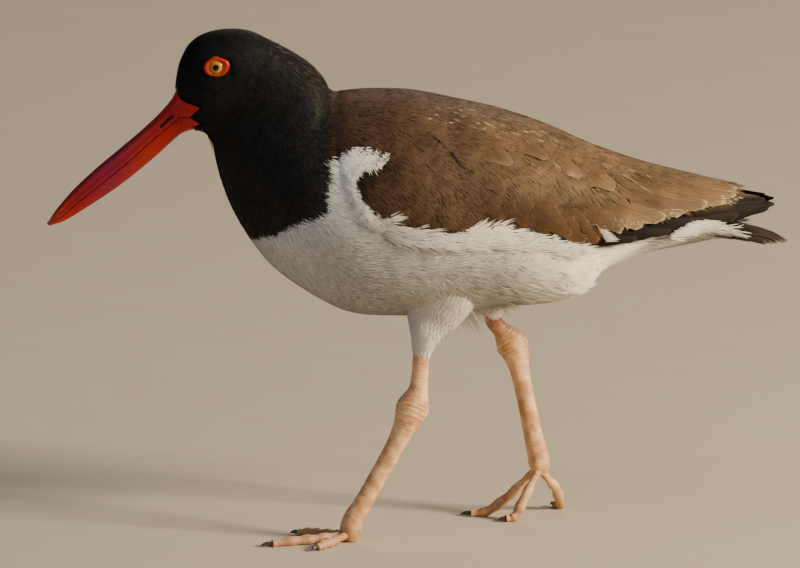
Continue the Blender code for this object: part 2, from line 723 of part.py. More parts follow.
def main():
    clear_scene()
    parts, tools = new_collection("oystercatcher"), new_collection("tools")
    paint = {name: new_material(name) for name in COLOURS}
    body_room = make_body(parts, tools, paint)
    make_eyes(parts, tools, paint)
    make_bill(parts, tools, paint)
    make_wings(parts, tools, paint, body_room)
    make_mantle(parts, paint, body_room)
    make_tail(parts, paint)
    make_leg(parts, paint, "left", LEFT_THIGH, LEFT_SHANK, LEFT_TARSUS, LEFT_TOES, body_room)
    make_leg(parts, paint, "right", RIGHT_THIGH, RIGHT_SHANK, RIGHT_TARSUS, RIGHT_TOES, body_room)
    for obj in parts.objects:
        shade(obj)


main()
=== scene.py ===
import math

import bmesh
import bpy
import numpy as np
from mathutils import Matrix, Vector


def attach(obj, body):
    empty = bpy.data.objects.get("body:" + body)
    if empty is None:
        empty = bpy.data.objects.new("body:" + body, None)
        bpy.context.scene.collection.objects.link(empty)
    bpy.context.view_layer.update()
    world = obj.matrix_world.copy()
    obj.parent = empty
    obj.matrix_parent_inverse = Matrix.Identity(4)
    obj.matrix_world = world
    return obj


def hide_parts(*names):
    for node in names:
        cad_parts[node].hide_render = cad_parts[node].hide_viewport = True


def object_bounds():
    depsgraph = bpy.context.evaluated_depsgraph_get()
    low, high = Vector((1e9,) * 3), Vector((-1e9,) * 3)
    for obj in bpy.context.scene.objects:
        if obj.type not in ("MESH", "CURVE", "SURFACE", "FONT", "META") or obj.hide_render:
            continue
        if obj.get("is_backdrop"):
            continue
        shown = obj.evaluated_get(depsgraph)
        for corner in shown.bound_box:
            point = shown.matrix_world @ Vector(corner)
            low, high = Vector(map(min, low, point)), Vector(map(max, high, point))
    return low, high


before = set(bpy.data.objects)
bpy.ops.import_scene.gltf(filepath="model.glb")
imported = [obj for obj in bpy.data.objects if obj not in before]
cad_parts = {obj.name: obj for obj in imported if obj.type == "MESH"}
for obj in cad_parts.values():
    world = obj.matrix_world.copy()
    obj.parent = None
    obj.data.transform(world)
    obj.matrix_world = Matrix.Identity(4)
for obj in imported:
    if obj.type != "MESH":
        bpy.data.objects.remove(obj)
cad_box = [list(corner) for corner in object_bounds()]

# A walking American oystercatcher, life size, as a still museum model. It faces -X, its left side
# faces -Y and the floor is z = 0. Lengths are millimetres and angles are degrees, unless said.
MM = 0.001
SIDES = ((-1, "left"), (1, "right"))

# Sections of the body from the tail's root to the face: upper x, upper z, lower x, lower z, half width
BODY = (
    (146, 150.5, 146, 143.5, 9),
    (133, 156.5, 134, 140.5, 13),
    (114, 164.5, 114, 136.5, 17),
    (99, 170.5, 100, 132.5, 21),
    (85.5, 175.5, 88, 127, 26),
    (74.5, 180, 78.5, 116, 31),
    (58.5, 188, 60.5, 111, 37.5),
    (39.5, 196.5, 39.5, 110, 43),
    (18, 203.5, 15.5, 108, 46.5),
    (-3.5, 207.5, -8, 105.5, 47.5),
    (-22.5, 209.5, -32, 107, 46),
    (-34, 210.5, -53, 117.5, 42.5),
    (-41, 212, -68.5, 129, 37.5),
    (-44.5, 218, -79, 142, 32.5),
    (-49, 223.5, -87, 155.5, 27.5),
    (-54.5, 228, -92.5, 169.5, 23),
    (-61, 232, -95.5, 181.5, 20),
    (-69.5, 236.5, -96.5, 189, 18),
    (-79, 241, -99, 191.5, 17.2),
    (-89.5, 242, -100.5, 192.5, 16.6),
    (-100, 240, -102, 193, 15.2),
    (-107.5, 235, -103, 193.2, 13),
    (-112, 226.5, -104.2, 193.3, 10.6),
    (-113.8, 218.5, -105, 193.5, 8.6),
    (-114.5, 211.5, -106, 193.6, 7.4),
)
FACE = len(BODY) - 1

# The folded wings and back as one smooth envelope, by x: top z, z of the widest place, half width
ENVELOPE = (
    (-41, 210.2, 166, 40.2),
    (-34, 211.8, 164.5, 44.3),
    (-24, 212.6, 163, 48),
    (-3, 212, 161, 50.5),
    (18, 208, 158.5, 49.8),
    (39.5, 203, 156.5, 46.5),
    (60.5, 196, 154, 41),
    (82, 186.5, 150.5, 34),
    (105.5, 178.5, 147.5, 26.5),
    (129.5, 172.5, 150, 19.5),
    (150.5, 167.3, 154.3, 13.5),
    (169, 163.5, 158.3, 8.5),
)
# Where the wing's feathers start, by angle from the back's ridge
WING_FRONT = (
    (0, -44), (30, -43), (46, -39), (51, -37), (54, -15), (60, -16),
    (65, -27), (74, -31), (84, -28.5), (93, -15),
)

# Tail: x, middle z, half width; and how far its sides hang below its middle
TAIL = (
    (118, 151.5, 10.5),
    (134, 150.5, 14.5),
    (150, 148.5, 18),
    (162, 146, 18.5),
    (170, 143, 18),
    (175.4, 140, 17.5),
)
TAIL_DROP = 3.0

# Bill, from root to tip: culmen x and z, mouth x and z, lower edge x and z, half width
BILL = (
    (-114.1, 212.2, -106.5, 205.3, -104.4, 194.1, 6.6),
    (-116.4, 208, -111, 201.5, -110.8, 192.2, 6.2),
    (-121.6, 201.8, -117.6, 196, -116.2, 187.8, 5.5),
    (-129.7, 194, -126, 188.9, -123.5, 181, 4.7),
    (-140.6, 184.6, -137, 178.7, -133, 172.9, 4.1),
    (-151.5, 175.3, -147.8, 169.6, -143.2, 165, 3.7),
    (-162.4, 165, -159.2, 160.2, -155.3, 156.8, 3.2),
    (-170.6, 155.4, -168.2, 152.2, -166.4, 149.9, 2.4),
    (-174.2, 149.9, -173.2, 149, -172, 147.9, 1.3),
    (-175.4, 148.4, -174.9, 148, -173.6, 147.1, 0.7),
)
NOSTRIL_FROM, NOSTRIL_TO = (-121.2, 196), (-115.6, 201.2)
MOUTH_GAP = 0.3
# Bare red skin at the corners of the mouth: the upper and lower edge of each lobe, x and z
LOBES = {
    "upper": (((-113.2, 212), (-111.4, 209.6), (-106.5, 208), (-102.8, 206.9)),
              ((-112, 200.9), (-107.8, 201.2), (-105.6, 203.4), (-102.8, 206.4))),
    "lower": (((-111.5, 200.6), (-107.6, 201), (-105.2, 199.9), (-102.8, 198.5)),
              ((-110.5, 195.4), (-107.4, 196), (-105.0, 196.8), (-102.8, 198))),
}
# Where the feathers of the face stop, by height: z, x
FACE_EDGE = (
    (193.4, -107.6), (195.8, -105.6), (198.3, -102.4), (199.8, -105.6), (201.2, -107.4), (203.4, -105.8),
    (206.8, -102.4), (208.2, -107.2), (210, -111.8), (213.5, -115.4), (216, -120),
)

EYE = (-94.9, 11.5, 226.7)
EYE_RADIUS = 5.0
LID_Y = 15.3

# Legs: x, y, z, half width fore and aft, half width sideways
THIGHS = {
    "left": ((15, -16, 128, 19, 21), (6.8, -19.5, 108, 12, 10), (3.4, -23, 98, 6.2, 6.2), (1.9, -23.8, 88, 3.4, 3.3)),
    "right": ((28, 16, 128, 17, 21), (31.5, 19.4, 110, 8.5, 9.5), (34.8, 23.2, 103, 4.6, 5), (36.4, 24.4, 97.5, 3.4, 3.4)),
}
LEGS = {
    "left": (
        (3.2, -22.8, 100, 3.0, 2.9),
        (1.9, -23.9, 88.6, 3.9, 3.6),
        (1.4, -24.3, 80.4, 4.0, 3.6),
        (0.6, -24.7, 73.5, 4.6, 4.0),
        (-0.4, -25, 69.5, 6.2, 4.8),
        (-2.2, -25.1, 64.3, 7.8, 5.5),
        (-4.6, -25.3, 58, 6.4, 4.9),
        (-7.8, -25.5, 51.5, 4.9, 3.9),
        (-11.5, -25.6, 44, 4.4, 3.4),
        (-19.4, -25.8, 29.6, 4.3, 3.3),
        (-25.5, -26, 18.5, 4.4, 3.6),
        (-29.6, -26, 11.5, 5.0, 4.4),
        (-31.4, -26, 6.2, 5.2, 5.0),
        (-31.8, -26, 0.6, 4, 4),
    ),
    "right": (
        (33.6, 21.6, 108, 3.4, 3.0),
        (36.4, 24.5, 96.4, 4.0, 3.7),
        (39.4, 25.1, 92, 4.0, 3.7),
        (41.6, 25.4, 89.4, 5.4, 4.4),
        (45, 26, 84.5, 7.6, 5.5),
        (47.3, 26, 78.5, 6.2, 4.9),
        (48.8, 26, 71.8, 4.7, 3.9),
        (50.7, 26, 63, 4.3, 3.4),
        (53.2, 26, 51, 4.3, 3.3),
        (55.4, 26, 40, 4.5, 3.5),
        (57.4, 26, 31.5, 5.0, 4.3),
        (58.6, 26, 25, 5.0, 4.8),
        (59.0, 26, 21, 3.0, 3.2),
    ),
}
# Toes: centre line from inside the foot's joint to the claw, then the claw's tip
TOES = {
    "left_inner": (((-38.3, -22.8, 3.0), (-45, -19.6, 2.1), (-51, -16.6, 2.0), (-56, -14.1, 1.4)), (-60.2, -12, 0.9)),
    "left_middle": (((-38.6, -28.3, 3.0), (-48, -31.4, 2.1), (-58, -34.8, 2.0), (-68.5, -38.3, 1.4)), (-74.2, -40.2, 0.9)),
    "left_outer": (((-36.1, -31.8, 3.0), (-40.2, -37, 2.1), (-44, -42, 2.0), (-47.2, -46.2, 1.4)), (-50, -49.8, 0.9)),
    "right_inner": (((55.8, 21.4, 19.6), (51, 18.4, 10.6), (46.6, 16.6, 2.4), (42.4, 15.2, 1.4)), (38.6, 14, 0.9)),
    "right_middle": (((53, 26.4, 19.4), (43.5, 27, 9.6), (33.5, 27, 2.4), (25.8, 27, 1.4)), (20.6, 27, 0.9)),
    "right_outer": (((61.8, 30.8, 18.2), (66.4, 36, 11.2), (68.4, 42, 3), (66.2, 46.2, 1.4)), (63.6, 49.2, 0.9)),
}
TOE_HALF = (1.8, 2.4, 2.3, 1.7)

# The bird's colours
INK = "151412"
SOOT = "211e19"
CHALK = "efe9dd"
UMBER = "533c2c"
TAWNY = "755b3d"
BUFF = "ccb898"
DUSK = "2a1e17"


def linear(code):
    """The linear colour of an sRGB hex value."""
    shares = [int(code[i : i + 2], 16) / 255 for i in (0, 2, 4)]
    return np.array([s / 12.92 if s <= 0.04045 else ((s + 0.055) / 1.055) ** 2.4 for s in shares])


def paint(code):
    return (*linear(code), 1)


def smooth(value, low, high):
    """0 up to low, 1 from high on, and an even S between them."""
    f = np.clip((value - low) / (high - low), 0, 1)
    return f * f * (3 - 2 * f)


def cloud(at, size, seed):
    """Soft blotches around 0 over places in millimetres, mostly from -1 to 1."""
    draw = np.random.default_rng(seed)
    waves = unit(draw.normal(size=(7, 3))) * draw.uniform(0.7, 1.6, (7, 1)) * 2 * math.pi / size
    return np.sin(at @ waves.T + draw.uniform(0, 2 * math.pi, 7)).sum(-1) / 3.2


def along(rows, t):
    """Rows of numbers at t on a smooth curve through rows: t is 0 at the first and 1 at the second."""
    rows = np.asarray(rows, float)
    last = len(rows) - 1
    t = np.clip(np.asarray(t, float), 0, last)
    i = np.minimum(t.astype(int), last - 1)
    f = (t - i)[..., None]
    p, q, r, s = (rows[np.clip(i + k, 0, last)] for k in (-1, 0, 1, 2))
    return 0.5 * (2 * q + (r - p) * f + (2 * p - 5 * q + 4 * r - s) * f**2 + (3 * q - p - 3 * r + s) * f**3)


def at_first(rows, value):
    """The smooth rows whose first number is about value, for rows in rising order."""
    firsts = np.array([row[0] for row in rows], float)
    i = np.clip(np.searchsorted(firsts, value, side="right") - 1, 0, len(rows) - 2)
    return along(rows, i + (value - firsts[i]) / (firsts[i + 1] - firsts[i]))


def unit(vectors):
    return vectors / np.maximum(np.linalg.norm(vectors, axis=-1, keepdims=True), 1e-9)


def body(t, turn):
    """A point on the body at t steps of BODY, turned from the top towards the bird's right."""
    top_x, top_z, low_x, low_z, half = np.moveaxis(along(BODY, t), -1, 0)
    rise, side = np.cos(turn), half * np.sin(turn)
    x = (top_x + low_x) / 2 + (top_x - low_x) / 2 * rise
    z = (top_z + low_z) / 2 + (top_z - low_z) / 2 * rise
    return np.stack([x, side, z], -1)


def wing(side):
    """The feather envelope of one side, by x and angle from the back's ridge."""

    def point(x, angle):
        _, top, wide, half = np.moveaxis(at_first(ENVELOPE, x), -1, 0)
        turn = np.radians(angle)
        return np.stack([x + 0 * half, side * half * np.sin(turn), wide + (top - wide) * np.cos(turn)], -1)

    return point


def tail(x, across):
    """The tail's upper face. Across is -1 at its left edge and 1 at its right."""
    _, middle, half = np.moveaxis(at_first(TAIL, x), -1, 0)
    return np.stack([x + 0 * half, across * half, middle - TAIL_DROP * across**2], -1)


def limb(rows):
    """A tapering limb: t steps along rows of centre and half widths, and a turn from its front."""

    def point(t, turn):
        here, ahead = along(rows, t), along(rows, t + 0.05) - along(rows, t - 0.05)
        ahead = unit(ahead[..., :3])
        level = np.broadcast_to([0.0, 1.0, 0.0], ahead.shape)
        across = np.where(np.abs(ahead[..., 1:2]) < 0.5, level, unit(np.cross(ahead, [0.0, 0.0, 1.0])))
        forward = unit(np.cross(across, ahead))
        across = np.cross(ahead, forward)
        fore, wide = here[..., 3:4], here[..., 4:5]
        turn = np.asarray(turn)[..., None]
        found = here[..., :3] + forward * fore * np.cos(turn) + across * wide * np.sin(turn)
        found[..., 2] = np.maximum(found[..., 2], 0.15)
        return found

    return point


def bearings(point, u, v, facing):
    """Points on a surface with the change in them for each number, and the outward direction."""
    step = 0.01
    along_u = (point(u + step, v) - point(u - step, v)) / (2 * step)
    along_v = (point(u, v + step) - point(u, v - step)) / (2 * step)
    return point(u, v), along_u, along_v, unit(np.cross(along_u, along_v)) * facing


def shifts(along_u, along_v, move):
    """How much the two numbers change for a small move in millimetres along the surface."""
    uu, vv, uv = (np.sum(a * b, -1) for a, b in ((along_u, along_u), (along_v, along_v), (along_u, along_v)))
    mu, mv = np.sum(move * along_u, -1), np.sum(move * along_v, -1)
    area = np.maximum(uu * vv - uv * uv, 1e-9)
    return (mu * vv - mv * uv) / area, (mv * uu - mu * uv) / area


def scatter(point, u_ends, v_ends, per_mm, seed, cells=160):
    """Even places on a surface, so many to each square millimetre."""
    us = np.linspace(*u_ends, cells + 1)
    vs = np.linspace(*v_ends, cells + 1)
    u, v = np.meshgrid((us[1:] + us[:-1]) / 2, (vs[1:] + vs[:-1]) / 2, indexing="ij")
    _, along_u, along_v, _ = bearings(point, u, v, 1)
    weight = np.linalg.norm(np.cross(along_u, along_v), axis=-1) * (us[1] - us[0]) * (vs[1] - vs[0]) * per_mm
    count = int(weight.sum())
    draw = np.random.default_rng(seed)
    steps = np.arange(1, count + 1)
    first, second = (draw.random() + steps * 0.7548776662) % 1, (draw.random() + steps * 0.5698402910) % 1
    rows = np.concatenate([[0], np.cumsum(weight.sum(1))]) / weight.sum()
    spot = np.interp(first, rows, np.arange(cells + 1))
    i = np.minimum(spot.astype(int), cells - 1)
    across = np.concatenate([np.zeros((cells, 1)), np.cumsum(weight, 1)], 1)
    across /= np.maximum(across[:, -1:], 1e-12)
    place = np.empty(count)
    for row in range(cells):
        chosen = i == row
        place[chosen] = np.interp(second[chosen], across[row], np.arange(cells + 1))
    return us[0] + spot * (us[1] - us[0]), vs[0] + place * (vs[1] - vs[0])


def sown(surface, u_ends, v_ends, per_mm, seed, keep):
    """Roots on a surface, thinned to the share of them that keep gives for their place, u and v."""
    u, v = scatter(surface, u_ends, v_ends, per_mm, seed)
    chance = np.random.default_rng(seed + 500).random(len(u))
    kept = chance < keep(surface(u, v), u, v)
    return u[kept], v[kept]


def finished(name, mesh, material, slot, *nodes):
    """An object for a bmesh in millimetres, which rides on the bird and stands for some of its nodes."""
    bmesh.ops.scale(mesh, vec=(MM, MM, MM), verts=mesh.verts)
    data = bpy.data.meshes.new(name)
    mesh.to_mesh(data)
    mesh.free()
    return placed(name, data, material, slot, *nodes)


def placed(name, data, material, slot, *nodes):
    made = bpy.data.objects.new(name, data)
    bpy.context.scene.collection.objects.link(made)
    data.materials.clear()
    data.materials.append(material)
    data.shade_smooth()
    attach(made, "root")
    if nodes:
        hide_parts(*nodes)
    return made


def sheet(point, columns, rows, closed=True, **marks):
    """A grid bent onto a surface of two shares, each from 0 to 1. Closed joins its sides and fills its ends.

    Each mark gives a number at every corner from the two shares, kept under the mark's name.
    """
    mesh = bmesh.new()
    bmesh.ops.create_grid(mesh, x_segments=columns, y_segments=rows, size=0.5)
    shares = np.array([vert.co[:2] for vert in mesh.verts]) + 0.5
    for name, mark in marks.items():
        layer = mesh.verts.layers.float.new(name)
        for vert, value in zip(mesh.verts, mark(shares[:, 0], shares[:, 1])):
            vert[layer] = value
    for vert, place in zip(mesh.verts, point(shares[:, 0], shares[:, 1])):
        vert.co = place
    bmesh.ops.remove_doubles(mesh, verts=mesh.verts, dist=1e-3)
    if closed:
        bmesh.ops.holes_fill(mesh, edges=[edge for edge in mesh.edges if edge.is_boundary], sides=0)
    bmesh.ops.recalc_face_normals(mesh, faces=mesh.faces)
    return mesh


def many(name, corners, faces, tints, patches, normals, flips, material, slot, *nodes):
    """One mesh of many like pieces. Corners is pieces by corners by 3, and faces belong to one piece.

    Normals lean the light on each corner, and flips is -1 for the faces on a piece's back.
    """
    count, size = corners.shape[:2]
    data = bpy.data.meshes.new(name)
    loops = (faces[None] + (np.arange(count) * size)[:, None, None]).reshape(-1)
    data.vertices.add(count * size)
    data.vertices.foreach_set("co", (corners * MM).astype(np.float32).ravel())
    data.loops.add(len(loops))
    data.loops.foreach_set("vertex_index", loops.astype(np.int32))
    data.polygons.add(count * len(faces))
    data.polygons.foreach_set("loop_start", np.arange(0, len(loops), faces.shape[1], dtype=np.int32))
    data.update(calc_edges=True)
    tint = data.attributes.new("tint", "FLOAT_COLOR", "POINT")
    tint.data.foreach_set("color", tints.astype(np.float32).ravel())
    feather = data.attributes.new("feather", "FLOAT", "POINT")
    chance = np.random.default_rng(count).random((count, 1))
    feather.data.foreach_set("value", np.broadcast_to(chance, (count, size)).astype(np.float32).ravel())
    for label, places in patches.items():
        layer = data.uv_layers.new(name=label)
        layer.data.foreach_set("uv", places.reshape(-1, 2)[loops].astype(np.float32).ravel())
    made = placed(name, data, material, slot, *nodes)
    if flips is None:
        data.normals_split_custom_set_from_vertices(normals.reshape(-1, 3).astype(np.float32))
    else:
        turned = unit(normals)[:, faces] * flips[None, :, None, None]
        data.normals_split_custom_set(turned.reshape(-1, 3).astype(np.float32))
    return made


def barb_shape(rings):
    """A thin closed spindle from base to tip: for each corner its share of the length and its place round."""
    mesh = bmesh.new()
    bmesh.ops.create_uvsphere(mesh, u_segments=3, v_segments=rings + 1, radius=1)
    bmesh.ops.triangulate(mesh, faces=mesh.faces)
    mesh.verts.index_update()
    corners = np.array([vert.co[:] for vert in mesh.verts])
    faces = np.array([[vert.index for vert in face.verts] for face in mesh.faces])
    mesh.free()
    return (corners[:, 2] + 1) / 2, np.stack([-corners[:, 1], corners[:, 0]], -1), faces


def tufts(name, ground, u, v, slant, sizes, colours, strands, material, slot, seed,
          fan=1.0, rings=2, curl=0.0, grain=0.05, dome=0.25, loose=1.0, ease=0.0, bake=None, nodes=()):
    """Tufts of barbs rooted at u, v on the ground, which is a surface, its facing and its heading along u.

    Slant turns them towards growing v, in radians. Sizes are a tuft's length, width, depth under the
    surface, rise of its tip and the thickness of a barb. Colours are its colour at the root and the tip,
    and a darker root is painted shade under the tufts that lie over it. Loose is how far its barbs stray
    from one another, and ease leans its shading along its lie.
    """
    surface, facing, heading = ground
    draw = np.random.default_rng(seed)
    count = len(u)
    _, along_u, along_v, out = bearings(surface, u, v, facing)
    length, width, depth, rise, thick = (np.broadcast_to(size, count)[:, None, None] for size in sizes)
    slant = np.broadcast_to(slant, count)[:, None]
    forward = unit(along_u) * heading * np.cos(slant) + unit(along_v) * np.sin(slant)
    forward = unit(forward - np.sum(forward * out, -1, keepdims=True) * out)
    aside = np.cross(out, forward)
    share, ring, faces = barb_shape(rings)
    size = len(share)
    share = share[None, None]
    spread = ((np.arange(strands) - (strands - 1) / 2) / max(strands - 1, 1))[None, :, None]
    spread = spread + draw.normal(0, 0.12 * loose, (count, strands, 1))
    reach = 1 - 0.5 * spread**2 + draw.normal(0, 0.1 * loose, (count, strands, 1))
    bend = curl + draw.normal(0, 0.1 * loose, (count, 1, 1)) + draw.normal(0, 0.05 * loose, (count, strands, 1))
    ahead = length * reach * share
    over = width * spread * (0.35 + 0.65 * share * fan) + length * bend * share**2
    over = over + ring[None, None, :, 0] * thick * 0.6
    body_line = np.sin(np.clip(share * 1.5, 0, 1) * math.pi / 2)
    lift = -depth + depth * 1.05 * body_line + rise * share**2 + ring[None, None, :, 1] * thick * 0.16
    lift = lift + draw.normal(0, 0.05, (count, strands, 1)) * depth * share
    move = forward[:, None, None] * ahead[..., None] + aside[:, None, None] * over[..., None]
    du, dv = shifts(along_u[:, None, None], along_v[:, None, None], move)
    at, _, _, outward = bearings(surface, u[:, None, None] + du, v[:, None, None] + dv, facing)
    corners = at + outward * lift[..., None]
    corners[..., 2] = np.maximum(corners[..., 2], 0.2)
    lean = ring[None, None, :, 0] * 0.35 * loose + draw.normal(0, 0.1 * loose, (count, 1, 1)) + dome * spread
    fall = ease + dome * (share - 0.45) + draw.normal(0, 0.05 * loose, (count, 1, 1))
    normals = outward + aside[:, None, None] * lean[..., None] + forward[:, None, None] * fall[..., None]
    low, high = (np.broadcast_to(colour, (count, 3))[:, None, None] for colour in colours)
    mixing = np.broadcast_to(share, (count, strands, size))[..., None]
    shade = 1 + draw.normal(0, grain, (count, strands, 1, 1))
    tints = (low * (1 - mixing) + high * mixing) * shade
    tints = np.concatenate([tints, np.ones((count, strands, size, 1))], -1)
    all_faces = (faces[None] + (np.arange(strands) * size)[:, None, None]).reshape(-1, 3)
    patch = np.stack([np.broadcast_to(spread, mixing.shape[:3]), mixing[..., 0] - 0.5], -1)
    places = bake(u, v)[:, None, None] + patch * BAKE_PATCH
    whole = (count, strands * size)
    many(name, corners.reshape(*whole, 3), all_faces, tints.reshape(*whole, 4),
         {"OFBake": places.reshape(*whole, 2)}, normals.reshape(*whole, 3), None, material, slot, *nodes)


BAKE_PATCH = 0.003


def body_bake(t, turn):
    """The place of a root on the body's own unwrap: its steps along and its turn around."""
    return np.stack([0.03 + 0.94 * t / FACE, 0.03 + 0.94 * ((turn / (2 * math.pi)) + 0.5)], -1)


def wing_bake(x, angle):
    """The place of a root on the wing envelope's unwrap: its way back and its angle from the ridge."""
    return np.stack([0.03 + 0.94 * (x + 50) / 230, 0.03 + 0.94 * (angle + 30) / 150], -1)


def limb_bake(t, turn):
    """The place of a root on the unwrap of a leg or of the tail's base."""
    return np.stack([0.05 + t * 0.22, 0.5 + turn / 7], -1)


def add(tree, kind, links=None, out=0, **settings):
    """Adds a node with its settings and its inputs, which are values or sockets, and returns one output."""
    made = tree.nodes.new(kind)
    for key, value in settings.items():
        setattr(made, key, value)
    for key, value in (links or {}).items():
        if isinstance(value, bpy.types.NodeSocket):
            tree.links.new(value, made.inputs[key])
        else:
            made.inputs[key].default_value = value
    return made.outputs[out]


def surface_of(name, roughness, **settings):
    """A material with its tree, and its Principled shader with plain settings on its own sockets."""
    made = bpy.data.materials.new(name)
    made.use_nodes = True
    shader = made.node_tree.nodes["Principled BSDF"]
    shader.inputs["Roughness"].default_value = roughness
    for key, value in settings.items():
        shader.inputs[key.replace("_", " ")].default_value = value
    return made, made.node_tree, shader


def coloured(ramp, stops):
    """Gives a colour ramp its stops, each a place from 0 to 1 and a colour."""
    elements = ramp.node.color_ramp.elements
    for place, _ in stops[1:-1]:
        elements.new(place)
    for element, (place, code) in zip(elements, stops):
        element.position = place
        element.color = paint(code)
    return ramp


def contour_plumage(name, roughness, strength, contrast, specular):
    """Body feathers: soft loose barbs, matt, with a fine streaked grain and faint broad patches."""
    made, tree, shader = surface_of(name, roughness, Specular_IOR_Level=specular)
    tint = add(tree, "ShaderNodeAttribute", attribute_name="tint")
    where = add(tree, "ShaderNodeTexCoord", out=3)
    grain = add(tree, "ShaderNodeTexNoise", {"Vector": where, "Scale": 1 / (1.1 * MM), "Detail": 3})
    patchy = add(tree, "ShaderNodeTexNoise", {"Vector": where, "Scale": 1 / (14 * MM), "Detail": 2})
    both = add(tree, "ShaderNodeMath", {0: grain, 1: patchy}, operation="ADD")
    level = add(tree, "ShaderNodeMapRange", {0: both, 1: 0.7, 2: 1.3, 3: 1 - contrast, 4: 1 + contrast})
    colour = add(tree, "ShaderNodeVectorMath", {0: tint, "Scale": level}, operation="SCALE")
    tree.links.new(colour, shader.inputs["Base Color"])
    bump = add(tree, "ShaderNodeBump", {"Height": grain, "Distance": 0.15 * MM, "Strength": strength})
    tree.links.new(bump, shader.inputs["Normal"])
    return made


def vane_plumage(name, roughness, edge, barbs, contrast, specular=0.3):
    """Firm feather vanes: barbs that slant off a shaft, split here and there with painted shade in the splits, and a
    worn paler edge.
    """
    made, tree, shader = surface_of(name, roughness, Specular_IOR_Level=specular)
    tint = add(tree, "ShaderNodeAttribute", attribute_name="tint")
    worn = tint.node.outputs[3]
    feather = add(tree, "ShaderNodeAttribute", out=2, attribute_name="feather")
    where = add(tree, "ShaderNodeTexCoord", out=3)
    place = add(tree, "ShaderNodeUVMap", uv_map="vane")
    parts = add(tree, "ShaderNodeSeparateXYZ", {0: place})
    share = parts.node.outputs[1]
    centred = add(tree, "ShaderNodeMath", {0: parts, 1: 0.5}, operation="SUBTRACT")
    off = add(tree, "ShaderNodeMath", {0: centred}, operation="ABSOLUTE")
    slant = add(tree, "ShaderNodeMath", {0: off, 1: -0.5, 2: share}, operation="MULTIPLY_ADD")
    count = add(tree, "ShaderNodeMath", {0: slant, 1: barbs}, operation="MULTIPLY")
    out = add(tree, "ShaderNodeMath", {0: centred, 1: 3.0}, operation="MULTIPLY")
    own = add(tree, "ShaderNodeMath", {0: feather, 1: 90.0}, operation="MULTIPLY")
    run = add(tree, "ShaderNodeCombineXYZ", {0: count, 1: out, 2: own})
    clump = add(tree, "ShaderNodeTexNoise", {"Vector": run, "Scale": 1.0, "Detail": 3, "Roughness": 0.6})
    streak = add(tree, "ShaderNodeMapRange", {0: clump, 1: 0.3, 2: 0.7, 3: 1 - contrast, 4: 1 + contrast})
    # Painted shade: the colour is darker where the barbs split
    split = add(tree, "ShaderNodeMapRange", {0: clump, 1: 0.29, 2: 0.37, 3: 0.45, 4: 1.0})
    patchy = add(tree, "ShaderNodeTexNoise", {"Vector": where, "Scale": 1 / (9 * MM), "Detail": 3})
    broad = add(tree, "ShaderNodeMapRange", {0: patchy, 1: 0.3, 2: 0.7, 3: 0.8, 4: 1.2})
    level = add(tree, "ShaderNodeMath", {0: streak, 1: broad}, operation="MULTIPLY")
    level = add(tree, "ShaderNodeMath", {0: level, 1: split}, operation="MULTIPLY")
    colour = add(tree, "ShaderNodeVectorMath", {0: tint, "Scale": level}, operation="SCALE")
    rim = add(tree, "ShaderNodeMapRange", {0: off, 1: 0.5 - edge, 2: 0.5}, interpolation_type="SMOOTHSTEP")
    end = add(tree, "ShaderNodeMapRange", {0: share, 1: 1 - edge * 0.6, 2: 1.0}, interpolation_type="SMOOTHSTEP")
    border = add(tree, "ShaderNodeMath", {0: rim, 1: end}, operation="MAXIMUM")
    frayed = add(tree, "ShaderNodeMapRange", {0: clump, 1: 0.4, 2: 0.65})
    border = add(tree, "ShaderNodeMath", {0: border, 1: frayed}, operation="MULTIPLY")
    border = add(tree, "ShaderNodeMath", {0: border, 1: worn}, operation="MULTIPLY")
    pale = add(tree, "ShaderNodeMix", {0: border, 6: colour, 7: paint(BUFF)}, out=2, data_type="RGBA")
    shaft = add(tree, "ShaderNodeMapRange", {0: off, 1: 0.03, 2: 0.012, 3: 0.0, 4: 0.35})
    lined = add(tree, "ShaderNodeMix", {0: shaft, 6: pale, 7: paint(DUSK)}, out=2, data_type="RGBA")
    tree.links.new(lined, shader.inputs["Base Color"])
    bump = add(tree, "ShaderNodeBump", {"Height": clump, "Distance": 0.3 * MM, "Strength": 0.35})
    tree.links.new(bump, shader.inputs["Normal"])
    return made


def horn(name):
    """Bill keratin: polished by use, deep red at the root, orange red along it with a purplish painted sheen partway,
    and yellowish at the worn tip.
    """
    made, tree, shader = surface_of(name, 0.4, Specular_IOR_Level=0.35)
    where = add(tree, "ShaderNodeTexCoord", out=3)
    x = add(tree, "ShaderNodeSeparateXYZ", {0: where})
    run = add(tree, "ShaderNodeMapRange", {0: x, 1: -104 * MM, 2: -176 * MM})
    # Painted sheen: the purplish stop at 0.55 stands for a sheen on the bill
    stops = ((0.0, "b1070b"), (0.2, "ac0f0f"), (0.38, "9c1d19"), (0.55, "80152f"), (0.8, "8e0914"),
             (0.94, "ac2a12"), (1.0, "a84a32"))
    ramp = coloured(add(tree, "ShaderNodeValToRGB", {0: run}), stops)
    turned = {"Vector": where, "Rotation": (0, math.radians(-44), 0), "Scale": (8, 60, 60)}
    streaks = add(tree, "ShaderNodeMapping", turned)
    grain = add(tree, "ShaderNodeTexNoise", {"Vector": streaks, "Scale": 1 / (45 * MM), "Detail": 4})
    level = add(tree, "ShaderNodeMapRange", {0: grain, 1: 0.3, 2: 0.7, 3: 0.8, 4: 1.18})
    colour = add(tree, "ShaderNodeVectorMath", {0: ramp, "Scale": level}, operation="SCALE")
    # Painted shade: the nostril's slit is nearly black
    hollow = add(tree, "ShaderNodeAttribute", out=2, attribute_name="hollow")
    dark = add(tree, "ShaderNodeMix", {0: hollow, 6: colour, 7: paint("1c0402")}, out=2, data_type="RGBA")
    tree.links.new(dark, shader.inputs["Base Color"])
    bump = add(tree, "ShaderNodeBump", {"Height": grain, "Distance": 0.12 * MM, "Strength": 0.3})
    tree.links.new(bump, shader.inputs["Normal"])
    return made


